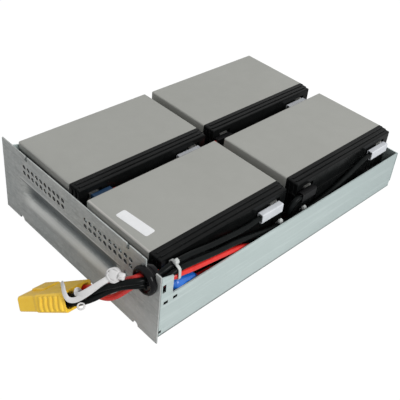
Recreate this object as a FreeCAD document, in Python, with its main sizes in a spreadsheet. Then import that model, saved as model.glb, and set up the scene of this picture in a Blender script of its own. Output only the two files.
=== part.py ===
# UPS battery cartridge: four sealed lead-acid blocks lying in a folded steel tray, with their
# harness, cable bushing and two-pole plug.  Millimetres, +Z up, +Y to the rear, +X to the right.
# The origin is under the middle of the front plate and tray, level with the plate's bottom edge.
import FreeCAD
import Part
import math
import os
import Sketcher
from FreeCAD import Placement, Rotation, Vector

doc = FreeCAD.newDocument("battery_cartridge")
os.makedirs("parts", exist_ok=True)

# ------------------------------------------------------------------ driving dimensions
DIMENSIONS = {
    "sheet": 1.2,              # galvanised steel of the tray and of the front plate
    "bend": 1.2,               # inside radius of every fold
    "plate_width": 220.0,
    "plate_height": 78.4,
    "shoulder_height": 73.0,   # plate to the right of the bushing
    "overall_length": 330.0,   # front face of the plate to the outside of the rear wall
    "tray_width": 217.0,
    "tray_lift": 3.0,          # the plate hangs this far below the tray's floor
    "wall_height": 43.7,
    "ear_height": 66.2,        # raised front end of each side wall
    "ear_length": 12.0,
    "corner_gap": 0.6,         # open corners of the folded tray
    "vent_diameter": 4.8,
    "vent_pitch": 6.55,
    "vent_row_pitch": 6.5,
    "vent_start": 16.0,        # middle of the plate to the first hole of each group
    "vent_height": 65.1,       # upper row
    "grip_left": -83.0,
    "grip_right": 62.0,
    "grip_lip": 48.3,          # underside of the lip that the fingers hook behind
    "block_length": 151.0,     # standard 12 V block, lying on its long side
    "block_height": 93.8,
    "block_depth": 65.0,
    "lid_height": 13.1,
    "block_lift": 5.0,         # underside of the blocks above the plate's bottom edge
    "terminal_inset": 17.0,
    "terminal_edge": 12.75,    # terminal's middle to the block's upper long side
    "tab_width": 6.35,
    "tab_thickness": 0.8,
    "wire": 5.2,               # outside diameter of every lead
    "bushing_flange": 23.0,
    "bushing_neck": 17.0,
    "bushing_x": 95.5,
    "bushing_z": 61.3,
    "plug_width": 36.0,
    "plug_height": 16.4,       # at the wire side; the housing tapers towards its nose
    "strap_width": 3.6,        # cable ties
}
sheet = doc.addObject("Spreadsheet::Sheet", "dimensions")
for row, (alias, size) in enumerate(DIMENSIONS.items(), start=1):
    sheet.set(f"A{row}", alias)
    sheet.set(f"B{row}", str(size))
    sheet.setAlias(f"B{row}", alias)
doc.recompute()


def dim(name):
    return float(sheet.get(name))


# ------------------------------------------------------------------ small helpers
PIECES = []


def piece(obj, name):
    """Name a finished sub-part; its label names its file."""
    obj.Label = name
    PIECES.append(obj)
    return obj


def body_named(name):
    return doc.addObject("PartDesign::Body", "body_" + name)


def sketch_on(body, role, offset=0.0, offset_expression=None):
    """A sketch on one of the body's own origin planes, moved along the plane's normal."""
    plane = [f for f in body.Origin.OriginFeatures if f.Role == role][0]
    sketch = body.newObject("Sketcher::SketchObject", "sketch")
    sketch.AttachmentSupport = (plane, [""])
    sketch.MapMode = "FlatFace"
    sketch.AttachmentOffset = Placement(Vector(0, 0, offset), Rotation())
    if offset_expression:
        sketch.setExpression("AttachmentOffset.Base.z", offset_expression)
    return sketch


def outline(sketch, points):
    """Closed outline of straight edges, each tied to the next."""
    first = sketch.GeometryCount
    count = len(points)
    for k in range(count):
        a, b = points[k], points[(k + 1) % count]
        sketch.addGeometry(Part.LineSegment(Vector(a[0], a[1], 0), Vector(b[0], b[1], 0)), False)
    for k in range(count):
        sketch.addConstraint(
            Sketcher.Constraint("Coincident", first + k, 2, first + (k + 1) % count, 1))
    return first


def sized_rectangle(sketch, corner, width, height):
    """Rectangle whose width and height follow two spreadsheet expressions."""
    w, h = evaluate(width), evaluate(height)
    x, y = corner
    first = outline(sketch, [(x, y), (x + w, y), (x + w, y + h), (x, y + h)])
    for k, kind in enumerate(("Horizontal", "Vertical", "Horizontal", "Vertical")):
        sketch.addConstraint(Sketcher.Constraint(kind, first + k))
    for axis, edge, expression, value in (("DistanceX", first, width, w),
                                          ("DistanceY", first + 1, height, h)):
        number = sketch.addConstraint(Sketcher.Constraint(axis, edge, 1, edge, 2, value))
        sketch.setExpression(f"Constraints[{number}]", expression)


def evaluate(expression):
    """Value of an expression written with the sheet's aliases."""
    return float(sheet.evalExpression(expression))


def circle(sketch, x, y, radius):
    sketch.addGeometry(Part.Circle(Vector(x, y, 0), Vector(0, 0, 1), radius), False)


def pad(body, sketch, length, midplane=False, reverse=False):
    feature = body.newObject("PartDesign::Pad", "pad")
    feature.Profile = sketch
    feature.setExpression("Length", length)
    feature.Midplane = midplane
    feature.Reversed = reverse
    doc.recompute()
    return feature


def pocket(body, sketch, length=None, midplane=False, reverse=False):
    """Pocket of a given depth, or through everything when no depth is given."""
    before = body.Shape.Volume
    feature = body.newObject("PartDesign::Pocket", "pocket")
    feature.Profile = sketch
    if length is None:
        feature.Type = 1
    else:
        feature.setExpression("Length", length)
    feature.Midplane = midplane
    feature.Reversed = reverse
    doc.recompute()
    if body.Shape.Volume > before - 0.01:
        raise RuntimeError("a pocket removed nothing in " + body.Name)
    return feature


def fillet(body, radius, choose):
    """Round the edges of the body's last feature that the test picks."""
    base = body.Tip
    names = [f"Edge{k}" for k, e in enumerate(base.Shape.Edges, start=1) if choose(e)]
    if not names:
        raise RuntimeError("no edge to round in " + body.Name)
    feature = body.newObject("PartDesign::Fillet", "fillet")
    feature.Base = (base, names)
    feature.Radius = radius
    doc.recompute()
    return feature


def along(edge, axis):
    """True for a straight edge parallel to the axis 'x', 'y' or 'z'."""
    if not isinstance(edge.Curve, Part.Line):
        return False
    return abs(getattr(edge.Curve.Direction, axis)) > 0.999


def near(value, target, slack=0.05):
    return abs(value - target) < slack


# ------------------------------------------------------------------ places shared by several pieces
SHEET = dim("sheet")
FOLD = dim("bend") + SHEET                                  # outside radius of a fold
FRONT = -dim("overall_length") / 2                          # front face of the plate
REAR = dim("overall_length") / 2
WALL_OUT = dim("tray_width") / 2
FLOOR_OUT = dim("tray_lift")
FLOOR_IN = FLOOR_OUT + SHEET
WALL_TOP = FLOOR_OUT + dim("wall_height")
EAR_TOP = FLOOR_OUT + dim("ear_height")
PANEL_OUT = FRONT + SHEET                                   # the tray's own front wall
PANEL_IN = PANEL_OUT + SHEET
RELIEF_TOP = 11.0                                           # top of the notches at the tray's corners
NOTCH_X = 71.0                                              # notches in the plate's upper edge
D = "dimensions."


def vent_holes(sketch):
    """Two groups of vent holes, ten by two each, mirrored about the plate's middle."""
    for side in (-1, 1):
        for row in range(2):
            for column in range(10):
                x = side * (dim("vent_start") + column * dim("vent_pitch"))
                circle(sketch, x, dim("vent_height") - row * dim("vent_row_pitch"), dim("vent_diameter") / 2)


def cable_notch(sketch, shoulder):
    """Notch for the bushing, open to the top; right of it the sheet is cut down to a shoulder."""
    x, z = dim("bushing_x"), dim("bushing_z")
    r, top, side = dim("bushing_neck") / 2 + 0.2, dim("plate_height") + 1, dim("plate_width") / 2 + 1
    sketch.addGeometry(Part.ArcOfCircle(
        Part.Circle(Vector(x, z, 0), Vector(0, 0, 1), r), math.pi, 2 * math.pi), False)
    corners = [(x + r, z), (x + r, shoulder), (side, shoulder), (side, top), (x - r, top), (x - r, z)]
    for a, b in zip(corners, corners[1:]):
        sketch.addGeometry(Part.LineSegment(Vector(*a, 0), Vector(*b, 0)), False)


# ------------------------------------------------------------------ tray
def folded_edge(sketch, outside, inward):
    """Section of a wall's foot: a strip of the floor, the fold and the wall up to the corner notch."""
    centre_y, centre_z = outside + inward * FOLD, FLOOR_OUT + FOLD
    start = math.pi if inward > 0 else 1.5 * math.pi
    for radius in (FOLD, FOLD - SHEET):
        ring = Part.Circle(Vector(centre_y, centre_z, 0), Vector(0, 0, 1), radius)
        sketch.addGeometry(Part.ArcOfCircle(ring, start, start + math.pi / 2), False)
    inside, strip = outside + inward * SHEET, outside + inward * 6.0
    edges = [((outside, centre_z), (outside, RELIEF_TOP)), ((outside, RELIEF_TOP), (inside, RELIEF_TOP)),
             ((inside, RELIEF_TOP), (inside, centre_z)), ((centre_y, FLOOR_IN), (strip, FLOOR_IN)),
             ((strip, FLOOR_IN), (strip, FLOOR_OUT)), ((strip, FLOOR_OUT), (centre_y, FLOOR_OUT))]
    for a, b in edges:
        sketch.addGeometry(Part.LineSegment(Vector(*a, 0), Vector(*b, 0)), False)


def make_tray():
    """One blank of sheet: floor, two side walls with raised ears, front wall and rear wall."""
    body = body_named("tray")
    gap = dim("corner_gap")
    side_rear = REAR - SHEET - gap
    side_front = PANEL_IN + gap

    section = sketch_on(body, "XZ_Plane", -side_rear)
    t = SHEET
    outline(section, [(-WALL_OUT, EAR_TOP), (-WALL_OUT, FLOOR_OUT), (WALL_OUT, FLOOR_OUT),
                      (WALL_OUT, EAR_TOP), (WALL_OUT - t, EAR_TOP), (WALL_OUT - t, FLOOR_IN),
                      (-WALL_OUT + t, FLOOR_IN), (-WALL_OUT + t, EAR_TOP)])
    pad(body, section, D + "overall_length - 3*" + D + "sheet - 2*" + D + "corner_gap")
    fillet(body, FOLD, lambda e: along(e, "y") and near(e.CenterOfMass.z, FLOOR_OUT))
    fillet(body, FOLD - t, lambda e: along(e, "y") and near(e.CenterOfMass.z, FLOOR_IN))

    ear_rear = FRONT + SHEET * 2 + gap + dim("ear_length")
    profile = sketch_on(body, "YZ_Plane")
    outline(profile, [(side_front - 1, EAR_TOP + 0.2), (ear_rear, EAR_TOP - 3.6), (ear_rear, WALL_TOP),
                      (side_rear + 1, WALL_TOP), (side_rear + 1, EAR_TOP + 9), (side_front - 1, EAR_TOP + 9)])
    pocket(body, profile, midplane=True)

    # Front and rear walls are folded up from the floor; their lower corners are notched for the folds.
    for outside, inward, top in ((PANEL_OUT, 1, dim("plate_height") - 2), (REAR, -1, WALL_TOP)):
        fold = sketch_on(body, "YZ_Plane")
        folded_edge(fold, outside, inward)
        pad(body, fold, f"{D}tray_width - 4*{D}sheet - 2*{D}bend", midplane=True)
        wall = sketch_on(body, "YZ_Plane")
        inside = outside + inward * t
        outline(wall, [(outside, RELIEF_TOP), (inside, RELIEF_TOP), (inside, top), (outside, top)])
        pad(body, wall, D + "tray_width", midplane=True)

    # The front wall repeats the plate's vents and has a window behind the finger grip.
    openings = sketch_on(body, "XZ_Plane", -PANEL_OUT + 0.5)
    vent_holes(openings)
    x0, x1, z0, z1 = dim("grip_left") - 2, dim("grip_right") + 2, 15.0, 54.0
    outline(openings, [(x0, z0), (x1, z0), (x1, z1), (x0, z1)])
    cable_notch(openings, dim("shoulder_height") - 2)
    pocket(body, openings, "3*" + D + "sheet")
    tabs = sketch_on(body, "XZ_Plane", -PANEL_OUT - 0.3)
    for side in (-1, 1):
        x, z = side * NOTCH_X, dim("plate_height") - 3.2
        outline(tabs, [(x - 1.2, z - t / 2), (x + 1.2, z - t / 2),
                       (x + 1.2, z + t / 2), (x - 1.2, z + t / 2)])
    pad(body, tabs, D + "sheet + 0.8")

    # Side walls: a tall slot in each ear, two short slots below it and the notch at the fold's end.
    slots = sketch_on(body, "YZ_Plane")
    for y, z, w, h in ((-159.1, 56.5, 3.4, 8.0), (-156.7, 40.5, 4.4, 3.0), (-147.0, 40.9, 4.4, 3.0),
                       (-160.8, 9.5, 3.0, 2.8)):
        outline(slots, [(y - w / 2, z - h / 2), (y + w / 2, z - h / 2),
                        (y + w / 2, z + h / 2), (y - w / 2, z + h / 2)])
    pocket(body, slots, midplane=True)
    return piece(body, "tray")


# ------------------------------------------------------------------ front plate
GRIP_FOOT, GRIP_SHELF, GRIP_TOP = 18.4, 33.4, 49.3      # heights: foot of the bead, pocket's floor and top
GRIP_DEPTH, GRIP_BULGE = 7.0, 1.5
GRIP_STEPS = (0, 0.15, 0.3, 0.45, 0.6, 0.72, 0.83, 0.92, 1)    # up the bead, closer where it rolls over
GRIP_RAMP = 16.0                                         # length over which each end eases into the sheet


def bead_depth(step):
    """Depth behind the plate's face up the bead: it bulges forward, then rolls over into the pocket."""
    roll = GRIP_DEPTH * (1 - math.sqrt(1 - step ** 3))
    return roll - GRIP_BULGE * math.sin(math.pi * step) ** 2 * (1 - step)


def grip_section():
    """Face side from the foot to the pocket's top, then the back of the sheet down again."""
    face = [(bead_depth(step), GRIP_FOOT + step * (GRIP_SHELF - GRIP_FOOT)) for step in GRIP_STEPS]
    back = [(SHEET, GRIP_FOOT)]
    for before, point, after in zip(face, face[1:], face[2:]):
        rise = Vector(after[0] - before[0], after[1] - before[1], 0).normalize()
        back.append((point[0] + SHEET * rise.y, point[1] - SHEET * rise.x))
    behind = GRIP_DEPTH + SHEET
    back += [(behind, GRIP_SHELF - SHEET), (behind, GRIP_TOP)]
    return face + [(GRIP_DEPTH, GRIP_TOP)], back[::-1]


def grip_outline(share):
    """The grip's section with its depth eased towards the flat sheet."""
    face, back = grip_section()
    return ([(FRONT + depth * share, z) for depth, z in face]
            + [(PANEL_OUT + (depth - SHEET) * share, z) for depth, z in back])


def make_front_plate():
    """Cover plate with vents, bushing notch and the lanced finger grip pressed into it."""
    body = body_named("front_plate")
    half, height = dim("plate_width") / 2, dim("plate_height")
    face = sketch_on(body, "XZ_Plane", -PANEL_OUT)
    sized_rectangle(face, (-half, 0), D + "plate_width", D + "plate_height")
    pad(body, face, D + "sheet")

    openings = sketch_on(body, "XZ_Plane", -FRONT + 0.5)
    vent_holes(openings)
    for x, z, r in ((69.4, 46.8, 2.5), (97.0, 44.4, 1.1)):
        circle(openings, x, z, r)
    for side in (-1, 1):
        x = side * NOTCH_X
        outline(openings, [(x - 1.7, height - 4.6), (x + 1.7, height - 4.6), (x + 1.7, height + 1),
                           (x - 1.7, height + 1)])
        circle(openings, side * 83.7, 0.4, 3.0)
    window = (dim("grip_left"), GRIP_FOOT + 0.2)
    outline(openings, [window, (dim("grip_right"), window[1]), (dim("grip_right"), dim("grip_lip")),
                       (window[0], dim("grip_lip"))])
    cable_notch(openings, dim("shoulder_height"))
    pocket(body, openings, "3*" + D + "sheet")

    ramp = [(-0.3, 0.0)] + [(GRIP_RAMP * k / 6, 0.5 - 0.5 * math.cos(math.pi * k / 6)) for k in range(7)]
    stations = [(dim("grip_left") + x, share) for x, share in ramp]
    stations += [(dim("grip_right") - x, share) for x, share in reversed(ramp)]
    sections = []
    for x, share in stations:
        section = sketch_on(body, "YZ_Plane", x)
        outline(section, grip_outline(share))
        sections.append(section)
    loft = body.newObject("PartDesign::AdditiveLoft", "grip")
    loft.Profile = sections[0]
    loft.Sections = sections[1:]
    loft.Ruled = True
    doc.recompute()
    return piece(body, "front_plate")


# ------------------------------------------------------------------ battery blocks
CASE_HEIGHT = dim("block_height") - dim("lid_height")
BLOCKS = {  # lower front left corner of each block and its small turn about the vertical
    "front_left": Placement(Vector(-107.0, -151.0, dim("block_lift")), Rotation(0.0, 0, 0)),
    "rear_left": Placement(Vector(-106.5, 8.8, dim("block_lift")), Rotation(-0.21, 0, 0)),
    "front_right": Placement(Vector(0.3, -152.4, dim("block_lift")), Rotation(0.27, 0, 0)),
    "rear_right": Placement(Vector(2.5, 8.6, dim("block_lift")), Rotation(0.43, 0, 0)),
}
TERMINALS = {"front": dim("terminal_inset"), "rear": dim("block_length") - dim("terminal_inset")}
TERMINAL_Z = dim("block_depth") - dim("terminal_edge")
WELL_FLOOR = dim("block_height") - 2.0
COVER_BACK, COVER_FACE = dim("block_height") - 0.6, dim("block_height") + 0.8


def make_case(name, pose):
    """Grey case, closed: the lid is welded to its open end."""
    body = body_named(name + "_case")
    section = sketch_on(body, "YZ_Plane")
    sized_rectangle(section, (0, 0), D + "block_length", D + "block_depth")
    pad(body, section, D + "block_height - " + D + "lid_height")
    fillet(body, 1.6, lambda e: along(e, "x") or near(e.CenterOfMass.x, 0))
    body.Placement = pose
    return piece(body, name + "_case")


def make_lid(name, pose):
    """Black lid in three steps, with a well for each terminal and a seat for the vent cover."""
    body = body_named(name + "_lid")
    length, depth = dim("block_length"), dim("block_depth")
    steps = ((CASE_HEIGHT, 3.7, 0.0), (CASE_HEIGHT + 3.7, 4.5, 0.35), (CASE_HEIGHT + 8.2, 4.9, 0.9))
    for start, height, inset in steps:
        step = sketch_on(body, "YZ_Plane", start)
        outline(step, [(inset, inset), (length - inset, inset), (length - inset, depth - inset),
                       (inset, depth - inset)])
        pad(body, step, f"{height}")
    fillet(body, 1.4, lambda e: along(e, "x"))
    fillet(body, 0.8,
           lambda e: near(e.CenterOfMass.x, dim("block_height")) and isinstance(e.Curve, Part.Line))

    wells = sketch_on(body, "YZ_Plane", dim("block_height"))
    for y in TERMINALS.values():
        outline(wells, [(y - 7.5, TERMINAL_Z - 6.5), (y + 7.5, TERMINAL_Z - 6.5),
                        (y + 7.5, TERMINAL_Z + 6.5), (y - 7.5, TERMINAL_Z + 6.5)])
    pocket(body, wells, "2")
    seat = sketch_on(body, "YZ_Plane", dim("block_height"))
    outline(seat, [(32.8, 11.8), (118.2, 11.8), (118.2, 45.2), (32.8, 45.2)])
    pocket(body, seat, "0.6")
    body.Placement = pose
    return piece(body, name + "_lid")


def make_vent_cover(name, pose):
    """Plate welded over the safety valves."""
    body = body_named(name + "_vent_cover")
    plate = sketch_on(body, "YZ_Plane", COVER_BACK)
    outline(plate, [(33, 12), (118, 12), (118, 45), (33, 45)])
    pad(body, plate, f"{COVER_FACE - COVER_BACK}")
    fillet(body, 3.0, lambda e: along(e, "x"))
    body.Placement = pose
    return piece(body, name + "_vent_cover")


def make_terminal(name, end, pose):
    """Push-on tab on its soldered foot."""
    body = body_named(f"{name}_{end}_terminal")
    y = TERMINALS[end]
    foot = sketch_on(body, "YZ_Plane", WELL_FLOOR)
    outline(foot, [(y - 4.6, TERMINAL_Z - 4), (y + 4.6, TERMINAL_Z - 4), (y + 4.6, TERMINAL_Z + 4),
                   (y - 4.6, TERMINAL_Z + 4)])
    pad(body, foot, "1.6")
    tab = sketch_on(body, "YZ_Plane", WELL_FLOOR)
    sized_rectangle(tab, (y - dim("tab_width") / 2, TERMINAL_Z - dim("tab_thickness") / 2),
                    D + "tab_width", D + "tab_thickness")
    pad(body, tab, "8.1")
    body.Placement = pose
    return piece(body, f"{name}_{end}_terminal")


# ------------------------------------------------------------------ terminal sleeves and receptacles
SLEEVE_X = (94.8, 101.0)                # across the block's height: from just off the lid outward
SLEEVE_HALF = 4.75
SLEEVE_WALL = 0.8
RECEPTACLE_X = (95.7, 100.1)
BARREL_RADIUS = 2.2


def sleeve_span(name, end):
    """Closed end and open end of a sleeve along the block; a wire leaves by the open end."""
    if end == "rear":
        return 138.8, 111.5
    if name.startswith("front"):
        return 12.4, 32.4
    return 21.6, 1.6


def sleeve_end(name, end, straight):
    """Last two points of a wire: a little before the sleeve, and on the barrel in its open end."""
    closed, mouth_y = sleeve_span(name, end)
    outward = 1 if mouth_y > closed else -1
    x = (RECEPTACLE_X[0] + RECEPTACLE_X[1]) / 2
    return [BLOCKS[name].multVec(Vector(x, mouth_y + outward * reach, TERMINAL_Z)) for reach in (straight, 0)]


def box_between(a, b):
    """Box with two opposite corners given, in any order."""
    low = [min(p, q) for p, q in zip(a, b)]
    size = [abs(p - q) for p, q in zip(a, b)]
    return Part.makeBox(*size, Vector(*low))


def make_sleeve(name, end, pose):
    """Slip-on insulating sleeve: a flat tube, closed at one end, slit for the tab."""
    closed, mouth_y = sleeve_span(name, end)
    inward = 1 if mouth_y > closed else -1
    low, high = TERMINAL_Z - SLEEVE_HALF, TERMINAL_Z + SLEEVE_HALF
    shell = box_between((SLEEVE_X[0], closed, low), (SLEEVE_X[1], mouth_y, high))
    shell = shell.makeFillet(1.0, [e for e in shell.Edges if along(e, "y")])
    hollow = box_between((SLEEVE_X[0] + SLEEVE_WALL, closed + inward * SLEEVE_WALL, low + SLEEVE_WALL),
                         (SLEEVE_X[1] - SLEEVE_WALL, mouth_y + inward, high - SLEEVE_WALL))
    y = TERMINALS[end]
    slit = box_between((SLEEVE_X[0] - 1, y - 4, TERMINAL_Z - 1.4), (SLEEVE_X[0] + 2, y + 4, TERMINAL_Z + 1.4))
    obj = doc.addObject("Part::Feature", f"{name}_{end}_sleeve")
    obj.Shape = shell.cut(hollow).cut(slit)
    obj.Placement = pose
    return piece(obj, f"{name}_{end}_sleeve")


def make_receptacles():
    """Flag receptacles on the tabs: rolled box with a slot for the tab, and a crimped barrel."""
    solids = []
    for name, pose in BLOCKS.items():
        for end, y in TERMINALS.items():
            mouth_y = sleeve_span(name, end)[1]
            inward = 1 if mouth_y > y else -1
            x0, x1 = RECEPTACLE_X
            box = box_between((x0, y - 3.7, TERMINAL_Z - 1.5), (x1, y + 3.7, TERMINAL_Z + 1.5))
            barrel = Part.makeCylinder(BARREL_RADIUS, abs(mouth_y - y) - 3.0,
                                       Vector((x0 + x1) / 2, y + inward * 3.0, TERMINAL_Z),
                                       Vector(0, inward, 0))
            half_width, half_thickness = dim("tab_width") / 2, dim("tab_thickness") / 2
            slot = box_between((x0 - 1, y - half_width, TERMINAL_Z - half_thickness),
                               (x1 + 1, y + half_width, TERMINAL_Z + half_thickness))
            shape = box.fuse(barrel).cut(slot)
            shape.Placement = pose.multiply(shape.Placement)
            solids.append(shape)
    obj = doc.addObject("Part::Feature", "flag_receptacles")
    obj.Shape = Part.makeCompound(solids)
    return piece(obj, "flag_receptacles")


def make_pads():
    """Two adhesive foam strips under each block."""
    strips = []
    for pose in BLOCKS.values():
        for y in (18.0, 109.0):
            strip = box_between((12, y, FLOOR_IN - dim("block_lift")), (72, y + 24, 0))
            strip.Placement = pose.multiply(strip.Placement)
            strips.append(strip)
    obj = doc.addObject("Part::Feature", "adhesive_pads")
    obj.Shape = Part.makeCompound(strips)
    return piece(obj, "adhesive_pads")


# ------------------------------------------------------------------ plug
PLUG_POSE = Placement(Vector(54.4, -199.1, 31.9), Rotation(-153.3, 26.3, 22.6))
PLUG_LENGTH = 46.5
PORT_OFFSET = 10.4                       # middle of the plug to the middle of each port
LEAD_LEVEL = 2.7                         # upper and lower lead in a port
CONTACT_REAR = 7.0


def rounded_rectangle(sketch, middle, half_width, half_height, radius):
    """Rectangle with round corners, from four straight edges and four quarter circles."""
    x, y = middle
    w, h = half_width - radius, half_height - radius
    quarters = ((x + w, y + h), (x - w, y + h), (x - w, y - h), (x + w, y - h))
    for k, (cx, cy) in enumerate(quarters):
        start = k * math.pi / 2
        corner = Part.Circle(Vector(cx, cy, 0), Vector(0, 0, 1), radius)
        sketch.addGeometry(Part.ArcOfCircle(corner, start, start + math.pi / 2), False)
        nx, ny = quarters[(k + 1) % 4]
        dx, dy = radius * math.cos(start + math.pi / 2), radius * math.sin(start + math.pi / 2)
        sketch.addGeometry(Part.LineSegment(Vector(cx + dx, cy + dy, 0), Vector(nx + dx, ny + dy, 0)), False)


def make_plug_housing():
    """Two-pole housing: x runs from the wire side to the nose, y across the poles."""
    body = body_named("plug_housing")
    half, thick = dim("plug_width") / 2, dim("plug_height") / 2
    sections = []
    for x, width, height in ((0, half, thick), (28, half, thick - 0.9), (30.5, half - 0.8, thick - 1.4),
                             (PLUG_LENGTH, half - 1.1, thick - 1.9)):
        section = sketch_on(body, "YZ_Plane", x)
        rounded_rectangle(section, (0, 0), width, height, 2.4)
        sections.append(section)
    shell = body.newObject("PartDesign::AdditiveLoft", "shell")
    shell.Profile = sections[0]
    shell.Sections = sections[1:]
    shell.Ruled = True
    doc.recompute()

    # Rounded ribs for the fingers on both narrow sides, and a raised block on the nose.
    ribs = sketch_on(body, "XY_Plane", -thick + 2.2)
    for side in (-1, 1):
        for k in range(5):
            x, root, crest = 3.6 + 4.9 * k, side * (half - 0.5), side * (half + 0.9)
            ends = Vector(x - 1.9, root, 0), Vector(x + 1.9, root, 0)
            ribs.addGeometry(Part.LineSegment(*ends), False)
            ribs.addGeometry(Part.Arc(ends[1], Vector(x, crest, 0), ends[0]), False)
    pad(body, ribs, D + "plug_height - 4.4")
    raised = sketch_on(body, "XY_Plane", 3)
    outline(raised, [(29.5, -16.0), (44.0, -15.4), (44.0, 1.5), (29.5, 3.5)])
    pad(body, raised, "5.1")
    fillet(body, 1.0, lambda e: near(e.CenterOfMass.z, 8.1) and isinstance(e.Curve, Part.Line))

    ports = sketch_on(body, "YZ_Plane")
    slots = sketch_on(body, "YZ_Plane", 15.5)
    mouths = sketch_on(body, "YZ_Plane", 32)
    for side in (-1, 1):
        y = side * PORT_OFFSET
        rounded_rectangle(ports, (y, 0), 6.5, 6.3, 4.6)
        rounded_rectangle(slots, (y, 0), 5.5, 1.5, 0.3)
        rounded_rectangle(mouths, (y - side * 0.9, 0), 6.4, 4.3, 1.0)
    pocket(body, ports, "15.5", reverse=True)
    pocket(body, slots, "20", reverse=True)
    pocket(body, mouths, "20", reverse=True)
    hole = sketch_on(body, "XY_Plane")
    circle(hole, 14, 0, 2.3)
    pocket(body, hole, midplane=True)
    body.Placement = PLUG_POSE
    return piece(body, "plug_housing")


def make_contact(name, y):
    """Silvered contact: crimp barrel for two leads and a flat blade."""
    body = body_named(name)
    barrel = sketch_on(body, "YZ_Plane", CONTACT_REAR)
    outline(barrel, [(y - 4.8, -5.3), (y + 4.8, -5.3), (y + 4.8, 5.3), (y - 4.8, 5.3)])
    pad(body, barrel, "8")
    blade = sketch_on(body, "YZ_Plane", CONTACT_REAR + 8)
    outline(blade, [(y - 5.2, -1.1), (y + 5.2, -1.1), (y + 5.2, 1.1), (y - 5.2, 1.1)])
    pad(body, blade, "28")
    body.Placement = PLUG_POSE
    return piece(body, name)


# ------------------------------------------------------------------ bushing
BUSHING_SLANT = 10.0                     # the leads lean this far to the right on their way in
BUSHING_FACE = FRONT - 6.0


def make_bushing():
    """Snap-in bushing: rounded flange outside, neck through both sheets, collar inside."""
    body = body_named("bushing")
    flange, neck, collar = dim("bushing_flange") / 2, dim("bushing_neck") / 2, 10.4
    back = FRONT - 0.05
    profile = sketch_on(body, "XY_Plane")
    round_centre = Vector(flange - 2.4, BUSHING_FACE + 2.4, 0)
    profile.addGeometry(Part.ArcOfCircle(
        Part.Circle(round_centre, Vector(0, 0, 1), 2.4), -math.pi / 2, 0), False)
    corners = [(flange, BUSHING_FACE + 2.4), (flange, back), (neck, back), (neck, PANEL_IN + 0.05),
               (collar, PANEL_IN + 0.05), (collar - 0.8, PANEL_IN + 3.8), (0, PANEL_IN + 3.8),
               (0, BUSHING_FACE), (flange - 2.4, BUSHING_FACE)]
    for a, b in zip(corners, corners[1:]):
        profile.addGeometry(Part.LineSegment(Vector(*a, 0), Vector(*b, 0)), False)
    turned = body.newObject("PartDesign::Revolution", "revolution")
    turned.Profile = profile
    turned.ReferenceAxis = (profile, ["V_Axis"])
    turned.Angle = 360
    doc.recompute()

    opening = sketch_on(body, "XZ_Plane")
    opening.AttachmentOffset = Placement(Vector(-1.1, 0, -BUSHING_FACE),
                                         Rotation(Vector(0, 1, 0), -BUSHING_SLANT))
    outline(opening, [(-5.4, -5.4), (5.4, -5.4), (5.4, 5.4), (-5.4, 5.4)])
    pocket(body, opening, midplane=True)
    body.Placement = Placement(Vector(dim("bushing_x"), 0, dim("bushing_z")), Rotation())
    return piece(body, "bushing")


# ------------------------------------------------------------------ wires
def plug_end(y, level):
    """Last two points of a lead: at the port's mouth and at the contact's barrel."""
    return [PLUG_POSE.multVec(Vector(x, y, level)) for x in (-7.0, CONTACT_REAR)]


FUSE_POSE = Placement(Vector(101.1, -133, 43.4), Rotation(Vector(1, 0, 0), -19))
BEFORE_FUSE, FUSE_FRONT, FUSE_REAR = [FUSE_POSE.multVec(Vector(0, y, 0)) for y in (-20, -15, 15)]

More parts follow.
